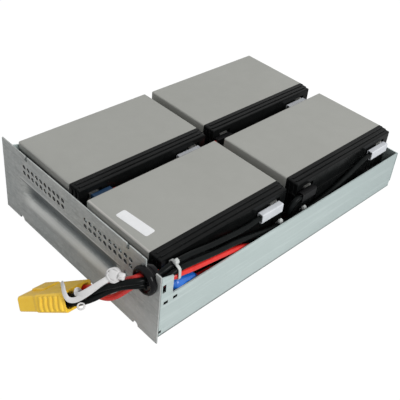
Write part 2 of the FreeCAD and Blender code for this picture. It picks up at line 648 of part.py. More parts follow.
ROUTES = {
    "inner_black_1": [(98.1, -165, 63.9), (99.3, -158, 63.9), (100.3, -151.6, 66.6), (100.4, -143, 68.2),
                      (100.2, -126, 67), (99.8, -103, 62.6), (99.5, -71, 58.8), (98.9, -56, 57.6)]
    + sleeve_end("front_right", "rear", 6),
    "inner_black_2": [(98.1, -165, 58.7), (99.3, -158, 58.7), (104.4, -153.4, 62.2), (105.2, -145, 65.9),
                      (105.3, -127, 63.4), (104.2, -102, 57.2), (102.5, -68, 51.8), (101.5, -27, 39.5),
                      (101.5, 14, 36), (101.5, 54, 40), (101, 87, 49.5), (100.3, 104, 55.6)]
    + sleeve_end("rear_right", "rear", 6),
    "inner_red_1": [(92.9, -165, 63.9), (94.1, -158, 63.9), (97, -153.2, 59.6), (101, -150.2, 57),
                    (105.2, -147.4, 59.6), (105.4, -140, 59.8), (105.4, -127, 56.4),
                    (104.6, -101, 51.8), (103.8, -72, 45.6),
                    (102.2, -47, 33.5), (101.6, -25, 22.5), (101.3, -6, 20.5), (96, 3.6, 22.6),
                    (83, 4.6, 23.2), (43, 4, 22.9), (6, 4.3, 23), (-4, 2, 25.5), (-7.7, -1, 34),
                    (-8.2, -1.6, 45), (-8.3, 1, 53.6)] + sleeve_end("rear_left", "front", 4),
    "inner_red_2": [(92.9, -165, 58.7), (94, -158.3, 58.7), (96.9, -154.4, 53.3), BEFORE_FUSE, FUSE_FRONT],
    "fused_red_2": [FUSE_REAR, (101.1, -114.1, 36.9), (103.2, -103.5, 39.6), (104, -86, 34.5),
                    (103.9, -63, 20), (103.6, -41, 12.6), (103.2, -19, 9.6), (101.6, -5, 9), (96, 3.6, 9.1),
                    (83, 4.6, 9), (43, 4, 9.2), (6, 4.3, 9), (-4.2, 0.5, 9.2), (-7.5, -10, 9.8),
                    (-8.9, -33, 10), (-9, -55, 12.5), (-9, -77, 22), (-8.9, -94, 41), (-9, -105, 53)]
    + sleeve_end("front_left", "front", 5),
    "link_front": sleeve_end("front_right", "front", 5)[::-1]
    + [(98.2, -105, 54.4), (97.9, -89, 43), (98, -66, 29), (98.5, -36, 17), (99.3, -11, 14.6),
       (95.6, 2.8, 15.8), (83, 4.5, 16.2), (43, 4.1, 15.9), (6, 4.3, 16), (-3.5, 1, 15.8),
       (-5.6, -9, 15.3), (-4, -31, 13.6), (-4, -50, 18.5), (-4.4, -60, 34), (-6.6, -57, 48),
       (-8.6, -51.4, 55.4)] + sleeve_end("front_left", "rear", 5),
    "link_rear": sleeve_end("rear_right", "front", 4)[::-1]
    + [(99.9, 1.7, 53.4), (98.9, -0.4, 46.8), (96.3, 1.8, 40), (90, 4.4, 33), (77, 4.6, 30.3),
       (43, 4, 29.8), (6, 4.2, 30), (-3, 6.6, 30), (-5.8, 14.5, 30.4), (-6.2, 34, 31), (-6.8, 69, 38),
       (-7.8, 95, 50), (-8.2, 107, 55.6)] + sleeve_end("rear_left", "rear", 5),
    "lead_black_1": [(98.1, -165, 63.9), (97.1, -171.5, 63.9), (94.3, -176.6, 62.9), (89.9, -180.3, 60.6),
                     (83.2, -184.4, 56.8), (75.8, -190.6, 52.4), (69.2, -197, 46.4)]
    + plug_end(PORT_OFFSET, LEAD_LEVEL),
    "lead_black_2": [(98.1, -165, 58.7), (97.2, -171.5, 58.5), (94.6, -176.5, 57), (90.2, -180.6, 54),
                     (83.2, -185.2, 50), (76.6, -191.4, 45.8), (71.4, -198.6, 39.6)]
    + plug_end(PORT_OFFSET, -LEAD_LEVEL),
    "lead_red_1": [(92.9, -165, 63.9), (91.9, -171.4, 63.9), (89, -175, 62.2), (84.4, -176.6, 58.4),
                   (77, -179.8, 51.2), (69.2, -183.4, 42.6)] + plug_end(-PORT_OFFSET, LEAD_LEVEL),
    "lead_red_2": [(92.9, -165, 58.7), (92, -171.6, 58.5), (89.2, -175.2, 54.8), (84, -176.8, 48.2),
                   (78, -179.8, 40.6), (70.4, -183.6, 34.4)] + plug_end(-PORT_OFFSET, -LEAD_LEVEL),
}
TIE_ROUTE = [(77.2, -186.6, 61.3), (75.0, -192.4, 57.3), (71.0, -203.6, 49.6), (67.0, -210.6, 44.4),
             (62.4, -213.9, 44.6), (58.0, -213.2, 48.6), (50.2, -209.0, 48.8), (41.5, -204.6, 42.5),
             (37.6, -203.1, 34.2), (47.6, -206.0, 18.9), (54.4, -204.4, 15.4), (61.8, -200.6, 20.2),
             (60.6, -197.8, 32.2), (59.0, -200.0, 43.6), (62.6, -206.4, 50.4), (67.2, -209.0, 49.4),
             (71.8, -204.6, 52.2), (75.8, -193.6, 59.8), (78.6, -187.2, 63.7)]


def route_wire(points):
    """Straight runs joined by tangent arcs, each as large as its two runs allow."""
    points = [Vector(*p) for p in points]
    edges, radii, start = [], [], points[0]
    for before, corner, after in zip(points, points[1:], points[2:]):
        back, ahead = before - corner, after - corner
        shorter = min(back.Length, ahead.Length)
        half_turn = (math.pi - back.getAngle(ahead)) / 2
        radii.append(0.45 * shorter / math.tan(half_turn))
        back.normalize()
        ahead.normalize()
        reach = 0.45 * shorter
        first, last = corner + back * reach, corner + ahead * reach
        inward = (back + ahead).normalize()
        to_centre = radii[-1] / math.cos(half_turn)
        middle = corner + inward * (to_centre - radii[-1])
        edges.append(Part.LineSegment(start, first).toShape())
        edges.append(Part.Arc(first, middle, last).toShape())
        start = last
    edges.append(Part.LineSegment(start, points[-1]).toShape())
    return Part.Wire(edges), radii


def make_tube(name, points, diameter):
    """Plain round tube along a route; its volume must be section times length."""
    path, radii = route_wire(points)
    start, heading = Vector(*points[0]), Vector(*points[1]) - Vector(*points[0])
    section = Part.Wire(Part.makeCircle(diameter / 2, start, heading))
    obj = doc.addObject("Part::Feature", name)
    obj.Shape = path.makePipeShell([section], True, True)
    share = obj.Shape.Volume / (math.pi * diameter ** 2 / 4 * path.Length)
    print(f"{name}: {path.Length:.1f} long, smallest radius {min(radii):.1f}, volume share {share:.4f}")
    if abs(share - 1) > 0.01:
        raise RuntimeError(name + " is not a clean tube")
    return piece(obj, name)


def make_fuse():
    """Shrink-wrapped fuse in one of the red wires: a spindle, tapered at both ends."""
    body = body_named("inline_fuse")
    profile = sketch_on(body, "XY_Plane")
    outline(profile, [(0, -15), (3.1, -15), (6.1, -10.5), (6.1, 10.5), (3.1, 15), (0, 15)])
    turned = body.newObject("PartDesign::Revolution", "revolution")
    turned.Profile = profile
    turned.ReferenceAxis = (profile, ["V_Axis"])
    turned.Angle = 360
    doc.recompute()
    fillet(body, 1.5, lambda e: near(abs(e.CenterOfMass.y), 10.5) and isinstance(e.Curve, Part.Circle))
    body.Placement = FUSE_POSE
    return piece(body, "inline_fuse")


# ------------------------------------------------------------------ cable ties
def make_cable_tie(name, y, bound, head):
    """Band drawn round the wires at one place along the tray, with its ratchet head."""
    band, slack, width = 1.0, 0.1, dim("strap_width")
    core = Part.makePolygon([Vector(x, y, z) for x, z in bound + bound[:1]])
    inner, outer = [Part.Face(core.makeOffset2D(dim("wire") / 2 + slack + grown)) for grown in (0, band)]
    strap = outer.cut(inner).extrude(Vector(0, width, 0))
    hx, hz = head
    block = box_between((hx - 2.4, y - 0.8, hz - 2.2), (hx + 2.4, y + width + 0.8, hz + 2.2))
    block = block.makeFillet(0.7, [e for e in block.Edges if along(e, "y")])
    obj = doc.addObject("Part::Feature", name)
    obj.Shape = strap.fuse(block).cut(inner.extrude(Vector(0, width + 2, 0)).translate(Vector(0, -1, 0)))
    return piece(obj, name)


def make_pull_tie_head():
    """Ratchet head of the pull tie, with the strap's cut end curled beside it."""
    body = body_named("pull_tie_head")
    block = sketch_on(body, "XY_Plane", -2.6)
    outline(block, [(-3.6, -3.2), (3.6, -3.2), (3.6, 3.2), (-3.6, 3.2)])
    pad(body, block, "5.2")
    fillet(body, 0.8, lambda e: isinstance(e.Curve, Part.Line))
    body.Placement = Placement(Vector(79.4, -184.6, 65.0), Rotation(-60, 50, 0))
    return piece(body, "pull_tie_head")


def make_tie_ring():
    """Small loose ring hanging on the pull tie."""
    obj = doc.addObject("Part::Torus", "tie_ring")
    obj.Radius1, obj.Radius2 = 2.6, 0.6
    obj.Placement = Placement(Vector(72.0, -209.2, 41.6), Rotation(Vector(0.8, -0.5, 0.3), 75))
    return piece(obj, "tie_ring")


# ------------------------------------------------------------------ the whole cartridge
make_tray()
make_front_plate()
make_pads()
for block_name, block_pose in BLOCKS.items():
    make_case(block_name, block_pose)
    make_lid(block_name, block_pose)
    make_vent_cover(block_name, block_pose)
    for terminal_end in TERMINALS:
        make_terminal(block_name, terminal_end, block_pose)
        make_sleeve(block_name, terminal_end, block_pose)
make_receptacles()
make_bushing()
make_fuse()
for route_name, route in ROUTES.items():
    make_tube(route_name, route, dim("wire"))
make_cable_tie("front_cable_tie", -145.4, [(100.4, 68.0), (105.2, 65.9), (105.3, 59.8)], (103.4, 72.2))
make_cable_tie("middle_cable_tie", -16.2, [(101.3, 38.9), (101.7, 38.9), (101.6, 21.5), (101.3, 21.5)],
               (101.8, 43.2))
make_cable_tie("rear_cable_tie", 17.6, [(101.3, 36.9), (101.7, 36.9), (101.7, 37.2), (101.3, 37.2)],
               (101.8, 41.8))
make_plug_housing()
make_contact("black_contact", PORT_OFFSET)
make_contact("red_contact", -PORT_OFFSET)
make_tube("pull_tie", TIE_ROUTE, 1.9)
make_pull_tie_head()
make_tie_ring()

doc.recompute()
for obj in doc.Objects:
    if "Invalid" in obj.State or "Error" in obj.State:
        raise RuntimeError(f"{obj.Name} failed: {obj.State}")
for obj in PIECES:
    if obj.Shape.isNull() or not obj.Shape.isValid():
        raise RuntimeError("bad shape: " + obj.Label)
    obj.Shape.exportStep(f"parts/{obj.Label}.step")
print(len(PIECES), "pieces written")
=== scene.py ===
"""Dressed model of a rack UPS battery cartridge: four sealed blocks in a folded steel tray."""
import math

import bpy
from mathutils import Matrix, Vector


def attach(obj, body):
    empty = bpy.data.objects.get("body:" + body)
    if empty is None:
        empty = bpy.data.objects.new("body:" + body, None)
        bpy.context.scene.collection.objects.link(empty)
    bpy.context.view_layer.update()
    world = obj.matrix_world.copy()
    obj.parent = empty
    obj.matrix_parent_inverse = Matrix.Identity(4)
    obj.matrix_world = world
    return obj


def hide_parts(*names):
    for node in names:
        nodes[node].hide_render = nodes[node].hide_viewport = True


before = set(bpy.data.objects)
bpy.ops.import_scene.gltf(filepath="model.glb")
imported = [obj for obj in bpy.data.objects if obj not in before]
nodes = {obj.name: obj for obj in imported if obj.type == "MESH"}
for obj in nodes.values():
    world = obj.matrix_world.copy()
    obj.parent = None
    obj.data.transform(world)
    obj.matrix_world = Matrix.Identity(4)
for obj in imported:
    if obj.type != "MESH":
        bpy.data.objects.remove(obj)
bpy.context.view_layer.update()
bpy.ops.object.select_all(action="DESELECT")

# ------------------------------------------------
# Camera.  It looks down on the cartridge from the front right, slightly rolled, with a long
# lens, and the picture's middle lies above and left of the lens axis.
camera_place = (0.37544, -0.42018, 0.44261)
camera_azimuth, camera_elevation, camera_roll = (math.radians(a) for a in (41.818, 35.06, 6.764))
bpy.ops.object.camera_add(location=camera_place)
camera = bpy.context.object
turn = Matrix.Rotation(camera_azimuth, 4, "Z") @ Matrix.Rotation(math.pi / 2 - camera_elevation, 4, "X")
camera.rotation_euler = (turn @ Matrix.Rotation(camera_roll, 4, "Z")).to_euler()
camera.data.sensor_width = 36.0
camera.data.lens = 62.87
camera.data.shift_x = -0.033
camera.data.shift_y = -0.103
camera.data.clip_start = 0.01
bpy.context.scene.camera = camera
bpy.context.scene.view_settings.view_transform = "Standard"


# ------------------------------------------------
# Wire insulation.  Extruded vinyl: a smooth skin with faint scuffs along its length, a little
# uneven in gloss.  The groups here are used again by most of the finishes further down.
def add_sockets(tree, inputs, outputs):
    """Give a group its named inputs and outputs."""
    for socket_name, kind, value in inputs:
        socket = tree.interface.new_socket(socket_name, in_out="INPUT", socket_type=kind)
        socket.default_value = value
    for socket_name, kind in outputs:
        tree.interface.new_socket(socket_name, in_out="OUTPUT", socket_type=kind)
    return tree.nodes.new("NodeGroupInput"), tree.nodes.new("NodeGroupOutput")


def set_inputs(node, values):
    """Set a node's own sockets by their names."""
    for socket_name, value in values.items():
        node.inputs[socket_name].default_value = value


def patchy_tone_group():
    """Colour that drifts between a dark and a light tone in soft clouds of two sizes."""
    tree = bpy.data.node_groups.new("patchy tone", "ShaderNodeTree")
    given, out = add_sockets(
        tree,
        [("Dark", "NodeSocketColor", (0.1, 0.1, 0.1, 1)), ("Light", "NodeSocketColor", (0.2, 0.2, 0.2, 1)),
         ("Cloud Scale", "NodeSocketFloat", 20.0), ("Stretch", "NodeSocketVector", (1, 1, 1))],
        [("Color", "NodeSocketColor")])
    new, link = tree.nodes.new, tree.links.new
    place, stretch = new("ShaderNodeTexCoord"), new("ShaderNodeMapping")
    link(place.outputs["Object"], stretch.inputs["Vector"])
    link(given.outputs["Stretch"], stretch.inputs["Scale"])
    large, small = new("ShaderNodeTexNoise"), new("ShaderNodeTexNoise")
    finer = new("ShaderNodeMath")
    finer.operation, finer.inputs[1].default_value = "MULTIPLY", 7.0
    link(given.outputs["Cloud Scale"], finer.inputs[0])
    for noise, scale in ((large, given.outputs["Cloud Scale"]), (small, finer.outputs[0])):
        set_inputs(noise, {"Detail": 4.0})
        link(stretch.outputs["Vector"], noise.inputs["Vector"])
        link(scale, noise.inputs["Scale"])
    both = new("ShaderNodeMix")
    set_inputs(both, {"Factor": 0.35})
    link(large.outputs["Fac"], both.inputs["A"])
    link(small.outputs["Fac"], both.inputs["B"])
    spread = new("ShaderNodeMapRange")
    set_inputs(spread, {"From Min": 0.32, "From Max": 0.68})
    link(both.outputs["Result"], spread.inputs["Value"])
    colour = new("ShaderNodeMix")
    colour.data_type = "RGBA"
    link(spread.outputs["Result"], colour.inputs["Factor"])
    link(given.outputs["Dark"], colour.inputs["A"])
    link(given.outputs["Light"], colour.inputs["B"])
    link(colour.outputs["Result"], out.inputs["Color"])
    return tree


def skin_group():
    """Fine moulded or rolled skin: a shallow relief and a gloss that varies over the surface."""
    tree = bpy.data.node_groups.new("fine skin", "ShaderNodeTree")
    given, out = add_sockets(
        tree,
        [("Grain Scale", "NodeSocketFloat", 900.0), ("Gloss Low", "NodeSocketFloat", 0.35),
         ("Gloss High", "NodeSocketFloat", 0.5), ("Stretch", "NodeSocketVector", (1, 1, 1))],
        [("Roughness", "NodeSocketFloat"), ("Height", "NodeSocketFloat")])
    new, link = tree.nodes.new, tree.links.new
    place, stretch = new("ShaderNodeTexCoord"), new("ShaderNodeMapping")
    link(place.outputs["Object"], stretch.inputs["Vector"])
    link(given.outputs["Stretch"], stretch.inputs["Scale"])
    grain, haze = new("ShaderNodeTexNoise"), new("ShaderNodeTexNoise")
    set_inputs(grain, {"Detail": 2.0})
    set_inputs(haze, {"Detail": 5.0, "Scale": 60.0})
    for noise in (grain, haze):
        link(stretch.outputs["Vector"], noise.inputs["Vector"])
    link(given.outputs["Grain Scale"], grain.inputs["Scale"])
    gloss = new("ShaderNodeMapRange")
    set_inputs(gloss, {"From Min": 0.3, "From Max": 0.7})
    link(haze.outputs["Fac"], gloss.inputs["Value"])
    link(given.outputs["Gloss Low"], gloss.inputs["To Min"])
    link(given.outputs["Gloss High"], gloss.inputs["To Max"])
    link(gloss.outputs["Result"], out.inputs["Roughness"])
    link(grain.outputs["Fac"], out.inputs["Height"])
    return tree


patchy_tone = patchy_tone_group()
fine_skin = skin_group()
grain_depth = 0.0002


def finish_of(title, dark, light, cloud_scale, gloss, grain=(900.0, 0.15), stretch=(1, 1, 1), metallic=0.0,
              specular=0.5, soft_edge=0.0):
    """Material whose colour, gloss and skin come from the two groups, its edges rounded where asked."""
    material = bpy.data.materials.new(title)
    material.use_nodes = True
    new, link = material.node_tree.nodes.new, material.node_tree.links.new
    shader = material.node_tree.nodes["Principled BSDF"]
    tone, skin, bump = new("ShaderNodeGroup"), new("ShaderNodeGroup"), new("ShaderNodeBump")
    tone.node_tree, skin.node_tree = patchy_tone, fine_skin
    set_inputs(tone, {"Dark": (*dark, 1), "Light": (*light, 1), "Cloud Scale": cloud_scale,
                      "Stretch": stretch})
    set_inputs(skin, {"Grain Scale": grain[0], "Gloss Low": gloss[0], "Gloss High": gloss[1],
                      "Stretch": stretch})
    set_inputs(bump, {"Strength": grain[1], "Distance": grain_depth})
    if soft_edge:
        rounding = new("ShaderNodeBevel")
        rounding.samples = 6
        set_inputs(rounding, {"Radius": soft_edge})
        link(rounding.outputs["Normal"], bump.inputs["Normal"])
    link(tone.outputs["Color"], shader.inputs["Base Color"])
    link(skin.outputs["Roughness"], shader.inputs["Roughness"])
    link(skin.outputs["Height"], bump.inputs["Height"])
    link(bump.outputs["Normal"], shader.inputs["Normal"])
    set_inputs(shader, {"Metallic": metallic, "Specular IOR Level": specular})
    return material


black_insulation = finish_of("black insulation", (0.003, 0.0036, 0.0036), (0.007, 0.0085, 0.0085), 40,
                             (0.2, 0.34), (700, 0.1), specular=0.07)
red_insulation = finish_of("red insulation", (0.52, 0.012, 0.01), (0.72, 0.03, 0.022), 40, (0.24, 0.4),
                           (700, 0.1), specular=0.4)

# ------------------------------------------------
# Outside leads.  Two black and two red stranded leads, 5.2 mm over their insulation, from the
# bushing in the front plate to the two-pole plug.  They are short and hang in one bundle.
wire_diameter = 0.0052
lead_routes = {
    "lead_black_1": [(0.0981, -0.165, 0.0639), (0.0972, -0.1716, 0.0645), (0.0944, -0.1768, 0.0646),
                     (0.0899, -0.1804, 0.0624), (0.0832, -0.1846, 0.0578), (0.0758, -0.1906, 0.0526),
                     (0.0692, -0.197, 0.0464), (0.0613, -0.2052, 0.0408), (0.0501, -0.2109, 0.0346)],
    "lead_black_2": [(0.0981, -0.165, 0.0587), (0.0971, -0.1716, 0.0593), (0.0938, -0.176, 0.0594),
                     (0.0889, -0.1796, 0.0572), (0.0817, -0.1838, 0.0524), (0.0756, -0.1905, 0.0464),
                     (0.0704, -0.1982, 0.0402), (0.0642, -0.2061, 0.0363), (0.053, -0.2117, 0.0301)],
    "lead_red_1": [(0.0929, -0.165, 0.0639), (0.0918, -0.1712, 0.0639), (0.0882, -0.1742, 0.061),
                   (0.0832, -0.1756, 0.0566), (0.0762, -0.179, 0.05), (0.0686, -0.1826, 0.0422),
                   (0.0558, -0.1865, 0.0337), (0.0446, -0.1921, 0.0275)],
    "lead_red_2": [(0.0929, -0.165, 0.0587), (0.0918, -0.1714, 0.0583), (0.0888, -0.1752, 0.0536),
                   (0.0838, -0.1772, 0.0464), (0.0778, -0.1806, 0.038), (0.0706, -0.184, 0.032),
                   (0.0587, -0.1873, 0.0292), (0.0475, -0.193, 0.023)],
}


def wire_along(title, route, material):
    """Round wire on a smooth line that the route's points pull into shape."""
    line = bpy.data.curves.new(title, "CURVE")
    line.dimensions, line.resolution_u = "3D", 10
    line.bevel_depth, line.bevel_resolution, line.use_fill_caps = wire_diameter / 2, 6, True
    spline = line.splines.new("NURBS")
    spline.points.add(len(route) - 1)
    for point, place in zip(spline.points, route):
        point.co = (*place, 1)
    spline.order_u = 3
    spline.use_endpoint_u = True
    line.materials.append(material)
    wire = bpy.data.objects.new(title, line)
    bpy.context.collection.objects.link(wire)
    return wire


def insulated_wire(title, node_name, route):
    """Wire in red or black, as its node's name says, in that node's place."""
    colour = "red" if "red" in node_name else "black"
    wire = wire_along(title, route, red_insulation if colour == "red" else black_insulation)
    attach(wire, "root")
    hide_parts(node_name)
    return wire


for node_name, route in lead_routes.items():
    insulated_wire("outside_" + node_name, node_name, route)

# ------------------------------------------------
# Harness.  Inside the tray the same wire runs along the trough beside the right-hand blocks,
# through the gap between the rows and up the channel between the blocks, to the sleeves.
harness_routes = {
    "inner_black_1": [(0.0981, -0.165, 0.0639), (0.0993, -0.158, 0.0639), (0.1003, -0.1516, 0.0666),
                      (0.1004, -0.143, 0.0682), (0.1002, -0.126, 0.067), (0.0998, -0.103, 0.0626),
                      (0.0995, -0.071, 0.0588), (0.0989, -0.056, 0.0576), (0.0977, -0.0464, 0.0573),
                      (0.0977, -0.0404, 0.0573)],
    "inner_black_2": [(0.0981, -0.165, 0.0587), (0.0993, -0.158, 0.0587), (0.1044, -0.1534, 0.0622),
                      (0.1052, -0.145, 0.0659), (0.1053, -0.127, 0.0634), (0.1042, -0.102, 0.0572),
                      (0.1025, -0.068, 0.0518), (0.1015, -0.027, 0.0395), (0.1015, 0.014, 0.036),
                      (0.1015, 0.054, 0.04), (0.101, 0.087, 0.0495), (0.1003, 0.104, 0.0556),
                      (0.0996, 0.1148, 0.0573), (0.0996, 0.1208, 0.0573)],
    "inner_red_1": [(0.0929, -0.165, 0.0639), (0.0941, -0.158, 0.0639), (0.097, -0.1532, 0.0596),
                    (0.101, -0.1502, 0.057), (0.1052, -0.1474, 0.0596), (0.1054, -0.14, 0.0598),
                    (0.1054, -0.127, 0.0564), (0.1046, -0.101, 0.0518), (0.1038, -0.072, 0.0456),
                    (0.1022, -0.047, 0.0335), (0.1016, -0.025, 0.0225), (0.1013, -0.006, 0.0205),
                    (0.096, 0.0036, 0.0226), (0.083, 0.0046, 0.0232), (0.043, 0.004, 0.0229),
                    (0.006, 0.0043, 0.023), (-0.004, 0.002, 0.0255), (-0.0077, -0.001, 0.034),
                    (-0.0082, -0.0016, 0.045), (-0.0083, 0.001, 0.0536), (-0.0086, 0.006, 0.0573),
                    (-0.0086, 0.01, 0.0573)],
    "inner_red_2": [(0.0929, -0.165, 0.0587), (0.094, -0.1583, 0.0587), (0.0969, -0.1544, 0.0533),
                    (0.1011, -0.1519, 0.0499), (0.1011, -0.1472, 0.0483)],
    "fused_red_2": [(0.1011, -0.1188, 0.0385), (0.1011, -0.1141, 0.0369), (0.1032, -0.1035, 0.0396),
                    (0.104, -0.086, 0.0345), (0.1039, -0.063, 0.02), (0.1036, -0.041, 0.0126),
                    (0.1032, -0.019, 0.0096), (0.1016, -0.005, 0.009), (0.096, 0.0036, 0.0091),
                    (0.083, 0.0046, 0.009), (0.043, 0.004, 0.0092), (0.006, 0.0043, 0.009),
                    (-0.0042, 0.0005, 0.0092), (-0.0075, -0.01, 0.0098), (-0.0089, -0.033, 0.01),
                    (-0.009, -0.055, 0.0125), (-0.009, -0.077, 0.022), (-0.0089, -0.094, 0.041),
                    (-0.009, -0.105, 0.053), (-0.0091, -0.1136, 0.0573), (-0.0091, -0.1186, 0.0573)],
    "link_front": [(0.098, -0.1195, 0.0573), (0.098, -0.1145, 0.0573), (0.0982, -0.105, 0.0544),
                   (0.0979, -0.089, 0.043), (0.098, -0.066, 0.029), (0.0985, -0.036, 0.017),
                   (0.0993, -0.011, 0.0146), (0.0956, 0.0028, 0.0158), (0.083, 0.0045, 0.0162),
                   (0.043, 0.0041, 0.0159), (0.006, 0.0043, 0.016), (-0.0035, 0.001, 0.0158),
                   (-0.0056, -0.009, 0.0153), (-0.004, -0.031, 0.0136), (-0.004, -0.05, 0.0185),
                   (-0.0044, -0.06, 0.034), (-0.0066, -0.057, 0.048), (-0.0086, -0.0514, 0.0554),
                   (-0.0091, -0.0445, 0.0573), (-0.0091, -0.0395, 0.0573)],
    "link_rear": [(0.1004, 0.0109, 0.0573), (0.1004, 0.0069, 0.0573), (0.0999, 0.0017, 0.0534),
                  (0.0989, -0.0004, 0.0468), (0.0963, 0.0018, 0.04), (0.09, 0.0044, 0.033),
                  (0.077, 0.0046, 0.0303), (0.043, 0.004, 0.0298), (0.006, 0.0042, 0.03),
                  (-0.003, 0.0066, 0.03), (-0.0058, 0.0145, 0.0304), (-0.0062, 0.034, 0.031),
                  (-0.0068, 0.069, 0.038), (-0.0078, 0.095, 0.05), (-0.0082, 0.107, 0.0556),
                  (-0.0082, 0.1149, 0.0573), (-0.0082, 0.1199, 0.0573)],
}
for node_name, route in harness_routes.items():
    insulated_wire("harness_" + node_name, node_name, route)


# ------------------------------------------------
# Tray.  One folded blank of galvanised sheet, left bare: bright zinc with faint rolling marks
# along the side walls.  Painted shade darkens it in its punched holes, along its fold and in other shaded
# places.
def give(material, *node_names):
    """Put a finish on CAD pieces that already have their final shape."""
    for node_name in node_names:
        for place in nodes[node_name].material_slots:
            place.material = material


def soft_box_group():
    """1 inside a box in the piece's own axes, fading to 0 over a given length inside its faces."""
    tree = bpy.data.node_groups.new("soft edged box", "ShaderNodeTree")
    given, out = add_sockets(
        tree,
        [("Low", "NodeSocketVector", (0, 0, 0)), ("High", "NodeSocketVector", (1, 1, 1)),
         ("Soft", "NodeSocketVector", (1, 1, 1))],
        [("Mask", "NodeSocketFloat")])
    new, link = tree.nodes.new, tree.links.new

    def step(operation, first, second):
        node = new("ShaderNodeVectorMath")
        node.operation = operation
        link(first, node.inputs[0])
        if isinstance(second, tuple):
            node.inputs[1].default_value = second
        else:
            link(second, node.inputs[1])
        return node.outputs["Vector"]

    place, parts = new("ShaderNodeTexCoord").outputs["Object"], new("ShaderNodeSeparateXYZ")
    above = step("DIVIDE", step("SUBTRACT", place, given.outputs["Low"]), given.outputs["Soft"])
    below = step("DIVIDE", step("SUBTRACT", given.outputs["High"], place), given.outputs["Soft"])
    above, below = (step("MAXIMUM", step("MINIMUM", side, (1, 1, 1)), (0, 0, 0)) for side in (above, below))
    link(step("MULTIPLY", above, below), parts.inputs["Vector"])
    across, whole = new("ShaderNodeMath"), new("ShaderNodeMath")
    across.operation = whole.operation = "MULTIPLY"
    link(parts.outputs["X"], across.inputs[0])
    link(parts.outputs["Y"], across.inputs[1])
    link(across.outputs[0], whole.inputs[0])
    link(parts.outputs["Z"], whole.inputs[1])
    link(whole.outputs[0], out.inputs["Mask"])
    return tree


def broken_marks_group():
    """Fine broken scratches and spots: 1 on a mark, 0 elsewhere."""
    tree = bpy.data.node_groups.new("broken marks", "ShaderNodeTree")
    given, out = add_sockets(
        tree, [("Stretch", "NodeSocketVector", (1, 1, 1)), ("Scale", "NodeSocketFloat", 400.0)],
        [("Mask", "NodeSocketFloat")])
    new, link = tree.nodes.new, tree.links.new
    place, stretch, noise = new("ShaderNodeTexCoord"), new("ShaderNodeMapping"), new("ShaderNodeTexNoise")
    thin = new("ShaderNodeMapRange")
    set_inputs(noise, {"Detail": 3.0})
    set_inputs(thin, {"From Min": 0.52, "From Max": 0.64})
    link(place.outputs["Object"], stretch.inputs["Vector"])
    link(given.outputs["Stretch"], stretch.inputs["Scale"])
    link(stretch.outputs["Vector"], noise.inputs["Vector"])
    link(given.outputs["Scale"], noise.inputs["Scale"])
    link(noise.outputs["Fac"], thin.inputs["Value"])
    link(thin.outputs["Result"], out.inputs["Mask"])
    return tree


def over(material, mask, colour, strength):
    """Lay a colour over a material's own where the mask says."""
    tree, shader = material.node_tree, material.node_tree.nodes["Principled BSDF"]
    amount, laid = tree.nodes.new("ShaderNodeMath"), tree.nodes.new("ShaderNodeMix")
    amount.operation, amount.inputs[1].default_value = "MULTIPLY", strength
    laid.data_type = "RGBA"
    set_inputs(laid, {"B": (*colour, 1)})
    tree.links.new(mask, amount.inputs[0])
    tree.links.new(amount.outputs[0], laid.inputs["Factor"])
    tree.links.new(shader.inputs["Base Color"].links[0].from_socket, laid.inputs["A"])
    tree.links.new(laid.outputs["Result"], shader.inputs["Base Color"])


def masked(material, mask_group, settings):
    """Mask from a group, for one material."""
    mask = material.node_tree.nodes.new("ShaderNodeGroup")
    mask.node_tree = mask_group
    set_inputs(mask, settings)
    return mask.outputs[0]


def marked(material, stretch, scale, colour, strength):
    """Lay fine broken marks over a finish."""
    over(material, masked(material, broken_marks, {"Stretch": stretch, "Scale": scale}), colour, strength)


def laid_in_boxes(material, places):
    """Lay painted shade, painted highlight and other tones over a finish, each in a soft box: low and high
    corner, soft length, colour, strength.
    """
    for low, high, soft, colour, strength in places:
        over(material, masked(material, soft_box, {"Low": low, "High": high, "Soft": soft}), colour, strength)


soft_box, broken_marks = soft_box_group(), broken_marks_group()
bright_zinc = finish_of("bright zinc", (0.42, 0.495, 0.485), (0.47, 0.545, 0.535), 14, (0.36, 0.5),
                        (500, 0.1), (1, 0.25, 1), metallic=0.25, specular=0.3)

# Cut walls of the punched holes, painted near black as shade inside them: vents, ear slot, two
# short slots and corner relief.
hole_shade, sharp = (0.012, 0.012, 0.012), (0.00001, 0.00001, 0.00001)
punched = [((-0.1, -0.16375, 0.055), (0.1, -0.16262, 0.069)),
           ((0.10735, -0.1612, 0.0521), (0.10845, -0.157, 0.0609)),
           ((0.10735, -0.1592, 0.0387), (0.10845, -0.1542, 0.0423)),
           ((0.10735, -0.1495, 0.0391), (0.10845, -0.1445, 0.0427)),
           ((0.10735, -0.1625, 0.0079), (0.10845, -0.1591, 0.0111))]
laid_in_boxes(bright_zinc, [(low, high, sharp, hole_shade, 1.0) for low, high in punched])
marked(bright_zinc, (1, 0.04, 1), 400, (0.6, 0.68, 0.67), 0.35)

# Painted shade on the fold at the foot of the right wall, painted shade and a painted reflection of the
# black lids on the rear wall's inner face, the right wall darker towards its rear end, and painted shade on
# the two lugs behind the plate's small notches.
laid_in_boxes(bright_zinc, [
    ((0.1065, -0.17, 0.0024), (0.11, 0.17, 0.0066), (0.0001, 0.001, 0.0008), (0.03, 0.034, 0.034), 0.75),
    ((-0.1072, 0.15, 0.0), (0.1072, 0.1642, 0.08), (0.0002, 0.001, 0.0005), (0.05, 0.055, 0.055), 0.75),
    ((0.1065, -0.02, -0.01), (0.11, 0.4, 0.1), (0.0001, 0.2, 0.0005), (0.32, 0.38, 0.38), 0.5),
    ((-0.0745, -0.166, 0.0725), (-0.0675, -0.16, 0.08), (0.0005, 0.0005, 0.0005), (0.04, 0.042, 0.042), 0.8),
    ((0.0675, -0.166, 0.0725), (0.0745, -0.16, 0.08), (0.0005, 0.0005, 0.0005), (0.04, 0.042, 0.042), 0.8),
])
give(bright_zinc, "tray")

